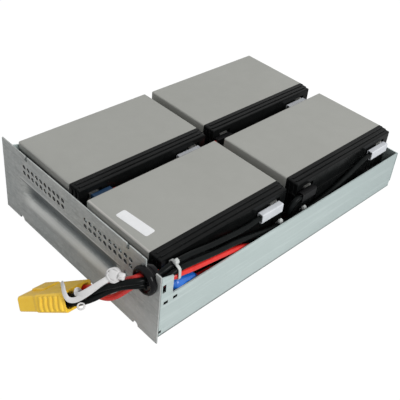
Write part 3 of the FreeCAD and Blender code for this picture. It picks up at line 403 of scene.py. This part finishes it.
# ------------------------------------------------
# Front plate.  The same galvanised sheet, duller and more handled, laid against the tray's front
# wall.  Its vents are punched and its finger grip is pressed in.
dull_zinc = finish_of("dull zinc", (0.34, 0.362, 0.36), (0.45, 0.462, 0.45), 26, (0.3, 0.45),
                      (400, 0.15), (1, 1, 0.6), metallic=0.15, specular=0.35, soft_edge=0.0003)


def depth_ramp_group():
    """0 to 1 between two depths along the piece's own y axis."""
    tree = bpy.data.node_groups.new("depth ramp", "ShaderNodeTree")
    given, out = add_sockets(
        tree, [("From", "NodeSocketFloat", 0.0), ("To", "NodeSocketFloat", 1.0)],
        [("Share", "NodeSocketFloat")])
    new, link = tree.nodes.new, tree.links.new
    place, parts, share = new("ShaderNodeTexCoord"), new("ShaderNodeSeparateXYZ"), new("ShaderNodeMapRange")
    share.interpolation_type = "SMOOTHSTEP"
    link(place.outputs["Object"], parts.inputs["Vector"])
    link(parts.outputs["Y"], share.inputs["Value"])
    link(given.outputs["From"], share.inputs["From Min"])
    link(given.outputs["To"], share.inputs["From Max"])
    link(share.outputs["Result"], out.inputs["Share"])
    return tree


# The rolled sheet carries broken scratches along its length and small spots, and the pocket
# behind the bead is painted darker as shade, the more so the deeper it goes.
marked(dull_zinc, (0.05, 1, 1), 400, (0.2, 0.21, 0.2), 0.35)
marked(dull_zinc, (0.6, 1, 1), 150, (0.2, 0.215, 0.215), 0.26)
marked(dull_zinc, (0.6, 1, 1), 520, (0.62, 0.64, 0.62), 0.25)
pocket_shade = masked(dull_zinc, depth_ramp_group(), {"From": -0.1642, "To": -0.1585})
over(dull_zinc, pocket_shade, (0.09, 0.105, 0.11), 0.85)

# Painted highlight on the bead, painted shadow under the lip, painted highlight on the lip's edge, lighter
# lower right corner, darker middle, painted highlight on the vents' near edges, and painted shade on their
# walls further in.
laid_in_boxes(dull_zinc, [
    ((-0.086, -0.167, 0.0215), (0.065, -0.1622, 0.0335), (0.02, 0.0005, 0.005), (0.66, 0.67, 0.65), 0.75),
    ((-0.084, -0.167, 0.0479), (0.064, -0.1635, 0.0492), (0.004, 0.0005, 0.0002), (0.06, 0.065, 0.07), 0.8),
    ((-0.084, -0.167, 0.0492), (0.064, -0.1635, 0.0508), (0.004, 0.0005, 0.0005), (0.62, 0.63, 0.62), 0.6),
    ((0.0, -0.167, -0.02), (0.15, -0.15, 0.03), (0.08, 0.0005, 0.016), (0.7, 0.71, 0.7), 0.5),
    ((-0.07, -0.167, 0.002), (0.04, -0.15, 0.05), (0.05, 0.0005, 0.014), (0.24, 0.25, 0.245), 0.2),
    ((-0.105, -0.16498, 0.0505), (0.084, -0.16, 0.0745), (0.001, 0.00005, 0.0003), (0.8, 0.8, 0.78), 0.8),
    ((-0.105, -0.1646, 0.0505), (0.084, -0.1628, 0.0745), (0.001, 0.0002, 0.0003), hole_shade, 1.0),
])
give(dull_zinc, "front_plate")


def applied(shape, title, kind, **settings):
    """Add a modifier to the active shape and apply it."""
    modifier = shape.modifiers.new(title, kind)
    for name, value in settings.items():
        setattr(modifier, name, value)
    bpy.ops.object.modifier_apply(modifier=title)


# Tongue of the plate that closes the notch above the bushing on its left.
tongue_left, tongue_right, tongue_foot, tongue_top = 0.0863, 0.0925, 0.0705, 0.0784
plate_middle_y, sheet_thickness = -0.1644, 0.0012
bpy.ops.object.select_all(action="DESELECT")
bpy.ops.mesh.primitive_plane_add(size=1)
tongue = bpy.context.object
tongue.name = "notch_tongue"
for vertex in tongue.data.vertices:
    vertex.co = (tongue_left if vertex.co.x < 0 else tongue_right, plate_middle_y,
                 tongue_foot if vertex.co.y < 0 else tongue_top)
applied(tongue, "sheet", "SOLIDIFY", thickness=sheet_thickness, offset=0.0)
tongue.data.materials.append(dull_zinc)
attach(tongue, "root")

# ------------------------------------------------
# Battery blocks.  Grey moulded cases with a fine satin skin, and glossy black lids that are
# welded on in steps, each with a long cover over its valves.
block_poses = {  # x, y of the block's front left foot, and its slight turn in degrees
    "front_left": (-0.107, -0.151, 0.0), "rear_left": (-0.1065, 0.0088, -0.21),
    "front_right": (0.0003, -0.1524, 0.27), "rear_right": (0.0025, 0.0086, 0.43)}
block_lift, block_depth, block_height, block_length = 0.005, 0.065, 0.094, 0.151
grey_case = finish_of("grey case plastic", (0.315, 0.318, 0.296), (0.335, 0.338, 0.316), 12, (0.5, 0.62),
                      (1500, 0.1), specular=0.3)
black_lid = finish_of("black lid plastic", (0.003, 0.0034, 0.0034), (0.007, 0.0076, 0.0076), 25, (0.16, 0.3),
                      (1200, 0.1), specular=0.08, soft_edge=0.0005)

# The front cases are painted near black as shade behind the plate's vents, and painted lighter along the top
# of their front faces as light.
laid_in_boxes(grey_case, [
    ((-0.12, -0.17, -0.01), (0.12, -0.1485, 0.0665), (0.001, 0.002, 0.005), (0.01, 0.01, 0.01), 1.0),
    ((-0.12, -0.17, 0.062), (0.12, -0.15, 0.08), (0.001, 0.001, 0.003), (0.55, 0.525, 0.5), 0.7),
])
for block in block_poses:
    give(grey_case, block + "_case")
    give(black_lid, block + "_lid", block + "_vent_cover")


def rounded_block(title, low, high, rounding, material, segments=3):
    """Box between two corners with all its edges rounded."""
    bpy.ops.object.select_all(action="DESELECT")
    middle = [(a + b) / 2 for a, b in zip(low, high)]
    size = [b - a for a, b in zip(low, high)]
    bpy.ops.mesh.primitive_cube_add(size=1, location=middle)
    box = bpy.context.object
    box.name, box.scale = title, size
    bpy.ops.object.transform_apply(location=True, rotation=False, scale=True)
    applied(box, "rounding", "BEVEL", width=rounding, segments=segments, limit_method="NONE")
    bpy.ops.object.shade_smooth_by_angle(angle=math.radians(40))
    box.data.materials.append(material)
    return box


def placed(shape, pose):
    """Turn and move a finished shape within its own mesh, so that its object stays unturned."""
    shape.data.transform(pose)
    shape.data.update()
    return shape


def joined(shapes, title):
    """Several shapes of one moulding as one piece."""
    bpy.ops.object.select_all(action="DESELECT")
    for shape in shapes:
        shape.select_set(True)
    bpy.context.view_layer.objects.active = shapes[0]
    bpy.ops.object.join()
    shapes[0].name = title
    return shapes[0]


# Ribs moulded on each lid: a bead along both long steps, two short ribs at each end face and a
# raised rim round the vent cover.  They are made once and copied to the four lids.
lid_start = block_height - 0.0131
steps = ((0.0041, 0.0), (0.0086, 0.00045))      # above the lid's start, and how far the step is set in
bead_half_width, bead_half_height, bead_short_of_end, bead_rounding = 0.00055, 0.0005, 0.004, 0.0004
rim_ends, rim_sides, rim_width, rim_rounding = (0.0312, 0.1198), (0.0102, 0.0468), 0.001, 0.0003
rim_low, rim_high = block_height - 0.0005, block_height + 0.0006
end_rib_start, end_rib_level, end_rib_rounding = lid_start + 0.0015, 0.014, 0.0006
end_rib_half_width, end_rib_inset = 0.0013, 0.0012
ribs = []
for step, inset in steps:
    low_x, high_x = lid_start + step - bead_half_width, lid_start + step + bead_half_width
    for edge in (block_depth - inset, inset):
        ribs.append(rounded_block("step bead", (low_x, bead_short_of_end, edge - bead_half_height),
                                  (high_x, block_length - bead_short_of_end, edge + bead_half_height),
                                  bead_rounding, black_lid))
    for end in (inset, block_length - inset):
        ribs.append(rounded_block("end bead", (low_x, end - bead_half_height, bead_short_of_end),
                                  (high_x, end + bead_half_height, block_depth - bead_short_of_end),
                                  bead_rounding, black_lid))
(start, stop), (lower, upper) = rim_ends, rim_sides
for a, b in (((start, lower), (stop, lower + rim_width)), ((start, upper - rim_width), (stop, upper)),
             ((start, lower), (start + rim_width, upper)), ((stop - rim_width, lower), (stop, upper))):
    ribs.append(rounded_block("cover rim", (rim_low, *a), (rim_high, *b), rim_rounding, black_lid))
for end in (end_rib_inset, block_length - end_rib_inset):
    for level in (end_rib_level, block_depth - end_rib_level):
        ribs.append(rounded_block(
            "end rib", (end_rib_start, end - end_rib_inset, level - end_rib_half_width),
            (block_height - end_rib_inset, end + end_rib_inset, level + end_rib_half_width),
            end_rib_rounding, black_lid))
first_ribs = joined(ribs, "first lid ribs")
for block, (x, y, degrees) in block_poses.items():
    lid_ribs = first_ribs.copy()
    lid_ribs.name, lid_ribs.data = block + "_lid_ribs", first_ribs.data.copy()
    bpy.context.collection.objects.link(lid_ribs)
    placed(lid_ribs, Matrix.Translation((x, y, block_lift)) @ Matrix.Rotation(math.radians(degrees), 4, "Z"))
    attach(lid_ribs, "root")
bpy.data.objects.remove(first_ribs)

# ------------------------------------------------
# Bare paper label with rounded corners, cut from white stock and stuck a little askew on top of
# the front right block.
label_paper = finish_of("label paper", (0.72, 0.73, 0.74), (0.78, 0.79, 0.8), 80, (0.45, 0.6), (1400, 0.1))
label_width, label_length, label_thickness, label_corner = 0.0105, 0.036, 0.0002, 0.002
label_place, label_turn = (0.0477, -0.1386, 0.07002), math.radians(5)
bpy.ops.object.select_all(action="DESELECT")
bpy.ops.mesh.primitive_plane_add(size=1)
label = bpy.context.object
label.name, label.scale = "bare_label", (label_length, label_width, 1)
bpy.ops.object.transform_apply(location=False, rotation=False, scale=True)
applied(label, "corners", "BEVEL", affect="VERTICES", width=label_corner, segments=6)
applied(label, "paper", "SOLIDIFY", thickness=label_thickness, offset=1.0)
label.data.materials.append(label_paper)
placed(label, Matrix.Translation(label_place) @ Matrix.Rotation(label_turn, 4, "Z"))
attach(label, "root")

# ------------------------------------------------
# Terminals and their receptacles: flat tinned tabs set in the lids, and push-on receptacles of
# tinned brass, rolled over the tabs.
tinned = finish_of("tinned metal", (0.6, 0.6, 0.57), (0.75, 0.75, 0.72), 60, (0.3, 0.45), metallic=0.9)
give(tinned, *[f"{block}_{end}_terminal" for block in block_poses for end in ("front", "rear")])
give(tinned, "flag_receptacles")

# ------------------------------------------------
# Terminal sleeves: slip-on covers of soft vinyl, white at the rear ends of the blocks, one blue
# and three black at the front ends.
white_sleeve = finish_of("white sleeve", (0.5, 0.52, 0.55), (0.6, 0.62, 0.65), 60, (0.35, 0.5), (900, 0.1),
                         soft_edge=0.0007)
blue_sleeve = finish_of("blue sleeve", (0.012, 0.038, 0.09), (0.02, 0.06, 0.13), 60, (0.3, 0.5), (900, 0.1),
                        soft_edge=0.0007)
black_sleeve = finish_of("black sleeve", (0.003, 0.003, 0.0035), (0.006, 0.006, 0.0065), 60, (0.3, 0.45),
                         (900, 0.1), specular=0.1, soft_edge=0.0007)
for block in block_poses:
    give(white_sleeve, block + "_rear_sleeve")
    give(blue_sleeve if block == "front_left" else black_sleeve, block + "_front_sleeve")

# ------------------------------------------------
# Adhesive foam: strips of closed-cell foam, sticky on both faces, that hold the blocks to the
# tray's floor.
foam = finish_of("adhesive foam", (0.6, 0.6, 0.58), (0.75, 0.75, 0.72), 80, (0.8, 0.95), (600, 0.6))
give(foam, "adhesive_pads")

# ------------------------------------------------
# Bushing: strain relief moulded in polished black nylon.  Its head is a thick disc with a
# rolled rim and a dished face, and the square opening in it grips the four leads.
polished_black = finish_of("polished black nylon", (0.004, 0.004, 0.0045), (0.008, 0.008, 0.009), 50,
                           (0.08, 0.16), (900, 0.03), specular=0.1)
bushing_centre = Vector((0.0955, 0, 0.0613))


def turned(title, half_section, steps):
    """Shape turned round the y axis from its half section: reach from the axis, and y."""
    bpy.ops.object.select_all(action="DESELECT")
    bpy.ops.mesh.primitive_circle_add(vertices=len(half_section), fill_type="NOTHING")
    shape = bpy.context.object
    shape.name = title
    for vertex, (reach, y) in zip(shape.data.vertices, half_section):
        vertex.co = (reach, y, 0)
    bpy.ops.object.mode_set(mode="EDIT")
    bpy.ops.mesh.select_mode(type="VERT")
    bpy.ops.mesh.select_all(action="SELECT")
    bpy.ops.mesh.spin(steps=steps, angle=math.tau, center=(0, 0, 0), axis=(0, 1, 0))
    bpy.ops.mesh.select_all(action="SELECT")
    bpy.ops.mesh.remove_doubles(threshold=0.00001)
    bpy.ops.mesh.normals_make_consistent(inside=False)
    bpy.ops.object.mode_set(mode="OBJECT")
    return shape


bushing_section = [(0, -0.1694), (0.0076, -0.1694), (0.0084, -0.1698), (0.0091, -0.1706), (0.0098, -0.17095),
                   (0.0106, -0.1709), (0.01145, -0.1705), (0.0121, -0.1698), (0.01243, -0.1689),
                   (0.01245, -0.1678), (0.01232, -0.1667), (0.012, -0.16575), (0.0114, -0.16515),
                   (0.01, -0.16505), (0.01, -0.1626), (0.0104, -0.16255), (0.0103, -0.1606),
                   (0.0096, -0.1588), (0, -0.1588)]
bushing = turned("turned_bushing", bushing_section, 96)
opening_half, opening_rounding, cutter_half_length = 0.0054, 0.0012, 0.03
opening_middle, opening_turn = (-0.0011, -0.171, 0), math.radians(-10)
cutter = rounded_block("opening cutter", (-opening_half, -cutter_half_length, -opening_half),
                       (opening_half, cutter_half_length, opening_half), opening_rounding, polished_black)
placed(cutter, Matrix.Translation(opening_middle) @ Matrix.Rotation(opening_turn, 4, "Z"))
bpy.ops.object.select_all(action="DESELECT")
bushing.select_set(True)
bpy.context.view_layer.objects.active = bushing
applied(bushing, "opening", "BOOLEAN", operation="DIFFERENCE", solver="EXACT", object=cutter)
bpy.data.objects.remove(cutter)
bushing.data.materials.clear()
bushing.data.materials.append(polished_black)
bpy.ops.object.shade_smooth_by_angle(angle=math.radians(35))
placed(bushing, Matrix.Translation(bushing_centre))
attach(bushing, "root")
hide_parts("bushing")

# ------------------------------------------------
# Inline fuse: a fuse holder in one red wire under blue heat-shrink sleeve, necked in at both
# ends where the sleeve closes on the wire.
blue_shrink = finish_of("blue shrink sleeve", (0.008, 0.09, 0.42), (0.014, 0.15, 0.58), 50, (0.18, 0.32),
                        (500, 0.1))
fuse_middle, fuse_slope, smooth_under = (0.1011, -0.133, 0.0434), math.radians(-19), math.radians(50)
fuse_section = [(0.0, -0.0158), (0.00265, -0.0158), (0.0029, -0.0148), (0.0036, -0.0132), (0.005, -0.0118),
                (0.0058, -0.0105), (0.0061, -0.0085), (0.0061, -0.003), (0.0059, -0.0012), (0.0059, 0.0012),
                (0.0061, 0.003), (0.0061, 0.0085), (0.0058, 0.0105), (0.005, 0.0118), (0.0036, 0.0132),
                (0.0029, 0.0148), (0.00265, 0.0158), (0.0, 0.0158)]
fuse = turned("shrink_wrapped_fuse", fuse_section, 48)
bpy.ops.object.shade_smooth_by_angle(angle=smooth_under)
fuse.data.materials.append(blue_shrink)
placed(fuse, Matrix.Translation(fuse_middle) @ Matrix.Rotation(fuse_slope, 4, "X"))
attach(fuse, "root")
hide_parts("inline_fuse")

# ------------------------------------------------
# Cable ties of natural nylon, dulled with age: a flat strap drawn round the bundle into a small
# square head, its end cut off just past the head.
aged_nylon = finish_of("aged nylon", (0.4, 0.42, 0.41), (0.52, 0.54, 0.53), 60, (0.35, 0.5), (500, 0.1))
strap_width, strap_thickness, strap_slack, strap_edge = 0.0026, 0.001, 0.0001, 0.00025
tie_head_size, head_rounding = (0.0042, 0.0045, 0.0034), 0.0012


def thickened(strip, thickness, edge_width, edge_angle, material):
    """Give a flat strip its thickness and eased edges, its faces pointing outwards."""
    bpy.ops.object.mode_set(mode="EDIT")
    bpy.ops.mesh.select_all(action="SELECT")
    bpy.ops.mesh.normals_make_consistent(inside=False)
    bpy.ops.object.mode_set(mode="OBJECT")
    applied(strip, "thickness", "SOLIDIFY", thickness=thickness, offset=0.0)
    applied(strip, "edges", "BEVEL", width=edge_width, segments=2, limit_method="ANGLE",
            angle_limit=edge_angle)
    bpy.ops.object.shade_smooth_by_angle(angle=smooth_under)
    strip.data.materials.append(material)
    return strip


def ratchet_head(title, middle, size, material):
    """Square head with its slot's raised rim and the cut stub of the strap standing out of it."""
    x, y, z = size
    face, rim_foot, rim_height, stub_height = z / 2, 0.0004, 0.0006, 0.0014
    head = rounded_block(title, (-x / 2, -y / 2, -face), (x / 2, y / 2, face), head_rounding, material, 4)
    rim = rounded_block("rim", (-x * 0.36, -y * 0.4, face - rim_foot), (x * 0.36, y * 0.4, face + rim_height),
                        0.0004, material)
    stub = rounded_block("stub", (-x * 0.14, -strap_width / 2, face),
                         (x * 0.12, strap_width / 2, face + stub_height), 0.0003, material)
    return placed(joined([head, rim, stub], title), Matrix.Translation(middle))


tie_places = {  # y of the strap's front edge, wire middles that it is drawn round, head
    "front_cable_tie": (-0.1454, [(0.1004, 0.068), (0.1052, 0.0659), (0.1053, 0.0598)], (0.1034, 0.0722)),
    "middle_cable_tie": (-0.0162, [(0.1013, 0.0389), (0.1017, 0.0389), (0.1016, 0.0215), (0.1013, 0.0215)],
                         (0.1018, 0.0432)),
    "rear_cable_tie": (0.0176, [(0.1013, 0.0369), (0.1017, 0.0369), (0.1017, 0.0372), (0.1013, 0.0372)],
                       (0.1018, 0.0418)),
}
for node_name, (front_edge, bound, (head_x, head_z)) in tie_places.items():
    middle_x = sum(x for x, z in bound) / len(bound)
    middle_z = sum(z for x, z in bound) / len(bound)
    reach = wire_diameter / 2 + strap_slack + strap_thickness / 2
    loop, turns = [], 20
    for k in range(turns):
        way = math.tau * k / turns
        out_x, out_z = math.cos(way), math.sin(way)
        held = max(bound, key=lambda place: (place[0] - middle_x) * out_x + (place[1] - middle_z) * out_z)
        loop.append((held[0] + reach * out_x, front_edge, held[1] + reach * out_z))
    bpy.ops.object.select_all(action="DESELECT")
    bpy.ops.mesh.primitive_circle_add(vertices=turns, fill_type="NOTHING")
    band = bpy.context.object
    band.name = node_name + "_strap"
    for vertex, place in zip(band.data.vertices, loop):
        vertex.co = place
    bpy.ops.object.mode_set(mode="EDIT")
    bpy.ops.mesh.select_all(action="SELECT")
    bpy.ops.mesh.extrude_region_move(TRANSFORM_OT_translate={"value": (0, strap_width, 0)})
    bpy.ops.object.mode_set(mode="OBJECT")
    thickened(band, strap_thickness, strap_edge, math.radians(30), aged_nylon)
    head = ratchet_head(node_name + "_head", (head_x, front_edge + strap_width / 2, head_z), tie_head_size,
                        aged_nylon)
    tie = joined([band, head], "drawn_" + node_name)
    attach(tie, "root")
    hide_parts(node_name)

# ------------------------------------------------
# Plug: two-pole housing moulded in yellow, with silvered copper contacts pushed in from behind
# on the ends of the leads.
yellow_housing = finish_of("yellow housing", (0.88, 0.54, 0.03), (0.97, 0.64, 0.055), 40, (0.28, 0.42),
                           (800, 0.06), soft_edge=0.0008)
silvered = finish_of("silvered contact", (0.7, 0.69, 0.66), (0.85, 0.84, 0.8), 60, (0.2, 0.35), metallic=1.0)
give(yellow_housing, "plug_housing")
give(silvered, "black_contact", "red_contact")

# Grip ribs on both narrow sides: rounded, leaning a little, and run out at the rounded edges.
plug_pose = (Matrix.Translation((0.0544, -0.1991, 0.0319)) @ Matrix.Rotation(math.radians(-153.3), 4, "Z")
             @ Matrix.Rotation(math.radians(26.3), 4, "Y") @ Matrix.Rotation(math.radians(22.6), 4, "X"))
plug_half_width, plug_half_height, plug_taper = 0.018, 0.0082, 0.032
rib_radius, rib_sunk, rib_count, first_rib, rib_pitch = 0.0021, 0.001, 5, 0.0036, 0.0049
ribs = []
for side in (-1, 1):
    for k in range(rib_count):
        x = first_rib + rib_pitch * k
        top, outer = plug_half_height - plug_taper * x, plug_half_width - rib_sunk
        rib = wire_along("rib", [(x + 0.0002, side * (outer - 0.0016), -top + 0.0026),
                                 (x + 0.0004, side * (outer - 0.0002), -top + 0.0031),
                                 (x + 0.0006, side * outer, -0.0025), (x + 0.0002, side * outer, 0.001),
                                 (x - 0.0005, side * outer, 0.0038),
                                 (x - 0.001, side * (outer - 0.0002), top - 0.0029),
                                 (x - 0.0012, side * (outer - 0.0016), top - 0.0025)], yellow_housing)
        rib.data.bevel_depth = rib_radius
        ribs.append(rib)
bpy.ops.object.select_all(action="DESELECT")
for rib in ribs:
    rib.select_set(True)
bpy.context.view_layer.objects.active = ribs[0]
bpy.ops.object.convert(target="MESH")
grip_ribs = placed(joined(ribs, "grip_ribs"), plug_pose)
bpy.ops.object.shade_smooth_by_angle(angle=smooth_under)
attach(grip_ribs, "root")

# ------------------------------------------------
# Pull tie.  A long cable tie looped round the leads and through the plug's mouths, to unplug
# the cartridge by: wide flat strap, head with the strap's end curled round it, and a small ring.
natural_nylon = finish_of("natural nylon", (0.58, 0.57, 0.57), (0.68, 0.68, 0.68), 60, (0.25, 0.4),
                          (900, 0.05), specular=0.4)
pull_thickness = 0.0011


def between(given, done):
    """What a list of values comes to, that share of the way along it."""
    place = done * (len(given) - 1)
    first = min(int(place), len(given) - 2)
    return given[first] + (given[first + 1] - given[first]) * (place - first)


def strap_along(title, route, widths, faces):
    """Flat strap: a narrow grid laid along a smooth line through the route, then thickened.

    Its width and the way it faces go evenly through the given ones, from end to end.
    """
    steps, faces = 12, [Vector(face) for face in faces]
    line = []
    for k in range(len(route) - 1):
        a, b, c, d = (Vector(route[min(max(k + j, 0), len(route) - 1)]) for j in (-1, 0, 1, 2))
        for step in range(steps):
            t = step / steps
            line.append(0.5 * ((2 * b) + (c - a) * t + (2 * a - 5 * b + 4 * c - d) * t ** 2
                               + (3 * b - a - 3 * c + d) * t ** 3))
    line.append(Vector(route[-1]))
    bpy.ops.object.select_all(action="DESELECT")
    bpy.ops.mesh.primitive_grid_add(x_subdivisions=2, y_subdivisions=len(line) - 1, size=1)
    strap = bpy.context.object
    strap.name = title
    rows = sorted(strap.data.vertices, key=lambda v: (round(v.co.y, 5), v.co.x))
    for row, place in enumerate(line):
        ahead = line[min(row + 1, len(line) - 1)] - line[max(row - 1, 0)]
        done = row / (len(line) - 1)
        facing, width = (between(given, done) for given in (faces, widths))
        sideways = ahead.cross(facing).normalized() * width / 2
        for column in range(3):
            rows[row * 3 + column].co = place + sideways * (column - 1)
    return thickened(strap, pull_thickness, pull_thickness * 0.3, math.radians(60), natural_nylon)


near_strand = [(0.0786, -0.1866, 0.0622), (0.0758, -0.1924, 0.0588), (0.0718, -0.2036, 0.0512),
               (0.0672, -0.2106, 0.0456), (0.0624, -0.2138, 0.0442), (0.0575, -0.2138, 0.0464),
               (0.0505, -0.2106, 0.0474), (0.0436, -0.207, 0.0428), (0.0412, -0.2053, 0.0356),
               (0.0418, -0.2052, 0.028)]
near_widths = [0.0041, 0.0041, 0.0044, 0.0041, 0.0034, 0.003, 0.0028, 0.0027]
near_faces = [(0.3, -0.75, 0.6), (0.25, -0.7, 0.66), (0.2, -0.65, 0.7), (0.1, -0.7, 0.65), (0.0, -0.6, 0.7),
              (-0.3, -0.6, 0.7), (-0.6, -0.5, 0.3)]
far_strand = [(0.0612, -0.1985, 0.031), (0.0592, -0.1998, 0.0396), (0.0598, -0.2042, 0.0466),
              (0.0642, -0.2078, 0.0478), (0.0684, -0.2066, 0.0502), (0.0722, -0.2014, 0.0545),
              (0.0758, -0.1936, 0.0598), (0.0786, -0.1872, 0.0637)]
far_widths = [0.0028, 0.0032, 0.0036, 0.0044, 0.0042]
far_faces = [(0.8, 0.3, 0.3), (0.6, -0.5, 0.5), (0.3, -0.7, 0.65), (0.3, -0.75, 0.6)]
near = strap_along("near strand", near_strand, near_widths, near_faces)
far = strap_along("far strand", far_strand, far_widths, far_faces)
pull_strap = joined([near, far], "pull_strap")
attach(pull_strap, "root")
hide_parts("pull_tie")

# The curled end winds once and a half round the head, its flat side outwards.
head_middle = Vector((0.0794, -0.1846, 0.065))
coil_axis = Vector((0.35, -0.75, 0.55)).normalized()
coil_right = coil_axis.cross(Vector((0, 0, 1))).normalized()
coil_up = coil_right.cross(coil_axis)
curl_points, curl_start, curl_turn = 17, math.radians(-150), math.radians(33)
curl_reach, curl_tightening, curl_depth, curl_rise = 0.0058, 0.00011, 0.0012, 0.00012
curl, outward = [], []
for k in range(curl_points):
    way = curl_start + curl_turn * k
    outward.append(coil_right * math.cos(way) + coil_up * math.sin(way))
    curl.append(head_middle + outward[-1] * (curl_reach - curl_tightening * k)
                - coil_axis * (curl_depth - curl_rise * k))
curled_end = strap_along("curled end", curl, [0.005, 0.0044], outward)
core_half_width, core_half_depth, core_rounding = 0.0042, 0.0026, 0.0018
core = rounded_block("core", (-core_half_width, -core_half_depth, -core_half_width),
                     (core_half_width, core_half_depth, core_half_width), core_rounding, natural_nylon, 4)
placed(core, Matrix.Translation(head_middle) @ coil_axis.to_track_quat("Y", "Z").to_matrix().to_4x4())
head_block_size, beside_the_coil = (0.0056, 0.0052, 0.004), Vector((0.0058, 0.0028, 0.0012))
head_block = ratchet_head("head block", (0, 0, 0), head_block_size, natural_nylon)
placed(head_block, Matrix.Translation(head_middle + beside_the_coil)
       @ Matrix.Rotation(math.radians(-60), 4, "Z") @ Matrix.Rotation(math.radians(50), 4, "Y"))
pull_head = joined([core, head_block, curled_end], "pull_head")
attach(pull_head, "root")
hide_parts("pull_tie_head")

# Loose ring, flattened a little as a moulded one is.
ring_radius, ring_wire_radius, ring_flattening = 0.00245, 0.00072, (1.06, 0.96, 1.25)
ring_middle, ring_axis = (0.072, -0.2092, 0.0416), Vector((0.35, -0.42, 0.83))
bpy.ops.object.select_all(action="DESELECT")
bpy.ops.mesh.primitive_torus_add(major_radius=ring_radius, minor_radius=ring_wire_radius,
                                 major_segments=40, minor_segments=12)
loose_ring = bpy.context.object
loose_ring.name = "loose_ring"
bpy.ops.object.mode_set(mode="EDIT")
bpy.ops.mesh.select_all(action="SELECT")
bpy.ops.transform.resize(value=ring_flattening)
bpy.ops.object.mode_set(mode="OBJECT")
bpy.ops.object.shade_smooth_by_angle(angle=smooth_under)
placed(loose_ring, Matrix.Translation(ring_middle) @ ring_axis.to_track_quat("Z", "Y").to_matrix().to_4x4())
loose_ring.data.materials.append(natural_nylon)
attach(loose_ring, "root")
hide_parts("tie_ring")

# ------------------------------------------------
# Studio.  A pale floor that reads as white, an even sky, and a broad lamp high on the right,
# so that the right side and the tops are light and the front is in soft shade.
floor_size, floor_level, floor_grey = 6.0, -0.0005, 0.6
floor_white, white_share = 1.06, 0.93
sky_level, backdrop_level = 0.62, 1.0
lamp_place, lamp_aim, lamp_size, lamp_power = (1.6, 0.1, 1.2), (0, 0, 0.04), 0.9, 27.0
bpy.ops.object.select_all(action="DESELECT")
bpy.ops.mesh.primitive_plane_add(size=floor_size, location=(0, 0, floor_level))
floor = bpy.context.object
floor.name = "studio_floor"
floor_paint = bpy.data.materials.new("studio floor")
floor_paint.use_nodes = True
floor_nodes, floor_links = floor_paint.node_tree.nodes, floor_paint.node_tree.links
painted = floor_nodes["Principled BSDF"]
seen, white = floor_nodes.new("ShaderNodeLightPath"), floor_nodes.new("ShaderNodeEmission")
share, mixed = floor_nodes.new("ShaderNodeMath"), floor_nodes.new("ShaderNodeMixShader")
set_inputs(white, {"Strength": floor_white})
share.operation, share.inputs[1].default_value = "MULTIPLY", white_share
floor_links.new(seen.outputs["Is Camera Ray"], share.inputs[0])
floor_links.new(share.outputs[0], mixed.inputs["Fac"])
floor_links.new(painted.outputs[0], mixed.inputs[1])
floor_links.new(white.outputs[0], mixed.inputs[2])
floor_links.new(mixed.outputs[0], floor_nodes["Material Output"].inputs["Surface"])
set_inputs(painted, {"Base Color": (floor_grey, floor_grey, floor_grey, 1), "Roughness": 0.9,
                     "Specular IOR Level": 0.0})
floor.data.materials.append(floor_paint)

world = bpy.data.worlds.new("even sky")
bpy.context.scene.world = world
world.use_nodes = True
sky_nodes, sky_links = world.node_tree.nodes, world.node_tree.links
ray, direct = sky_nodes.new("ShaderNodeLightPath"), sky_nodes.new("ShaderNodeMath")
level = sky_nodes.new("ShaderNodeMapRange")
direct.operation = "MAXIMUM"
sky_links.new(ray.outputs["Is Camera Ray"], direct.inputs[0])
sky_links.new(ray.outputs["Is Glossy Ray"], direct.inputs[1])
set_inputs(level, {"To Min": sky_level, "To Max": backdrop_level})
sky_links.new(direct.outputs[0], level.inputs["Value"])
set_inputs(sky_nodes["Background"], {"Color": (1, 1, 1, 1)})
sky_links.new(level.outputs["Result"], sky_nodes["Background"].inputs["Strength"])

bpy.ops.object.light_add(type="AREA", location=lamp_place)
lamp = bpy.context.object
lamp.data.shape, lamp.data.size, lamp.data.energy = "SQUARE", lamp_size, lamp_power
lamp.rotation_euler = (Vector(lamp_aim) - lamp.location).to_track_quat("-Z", "Y").to_euler()
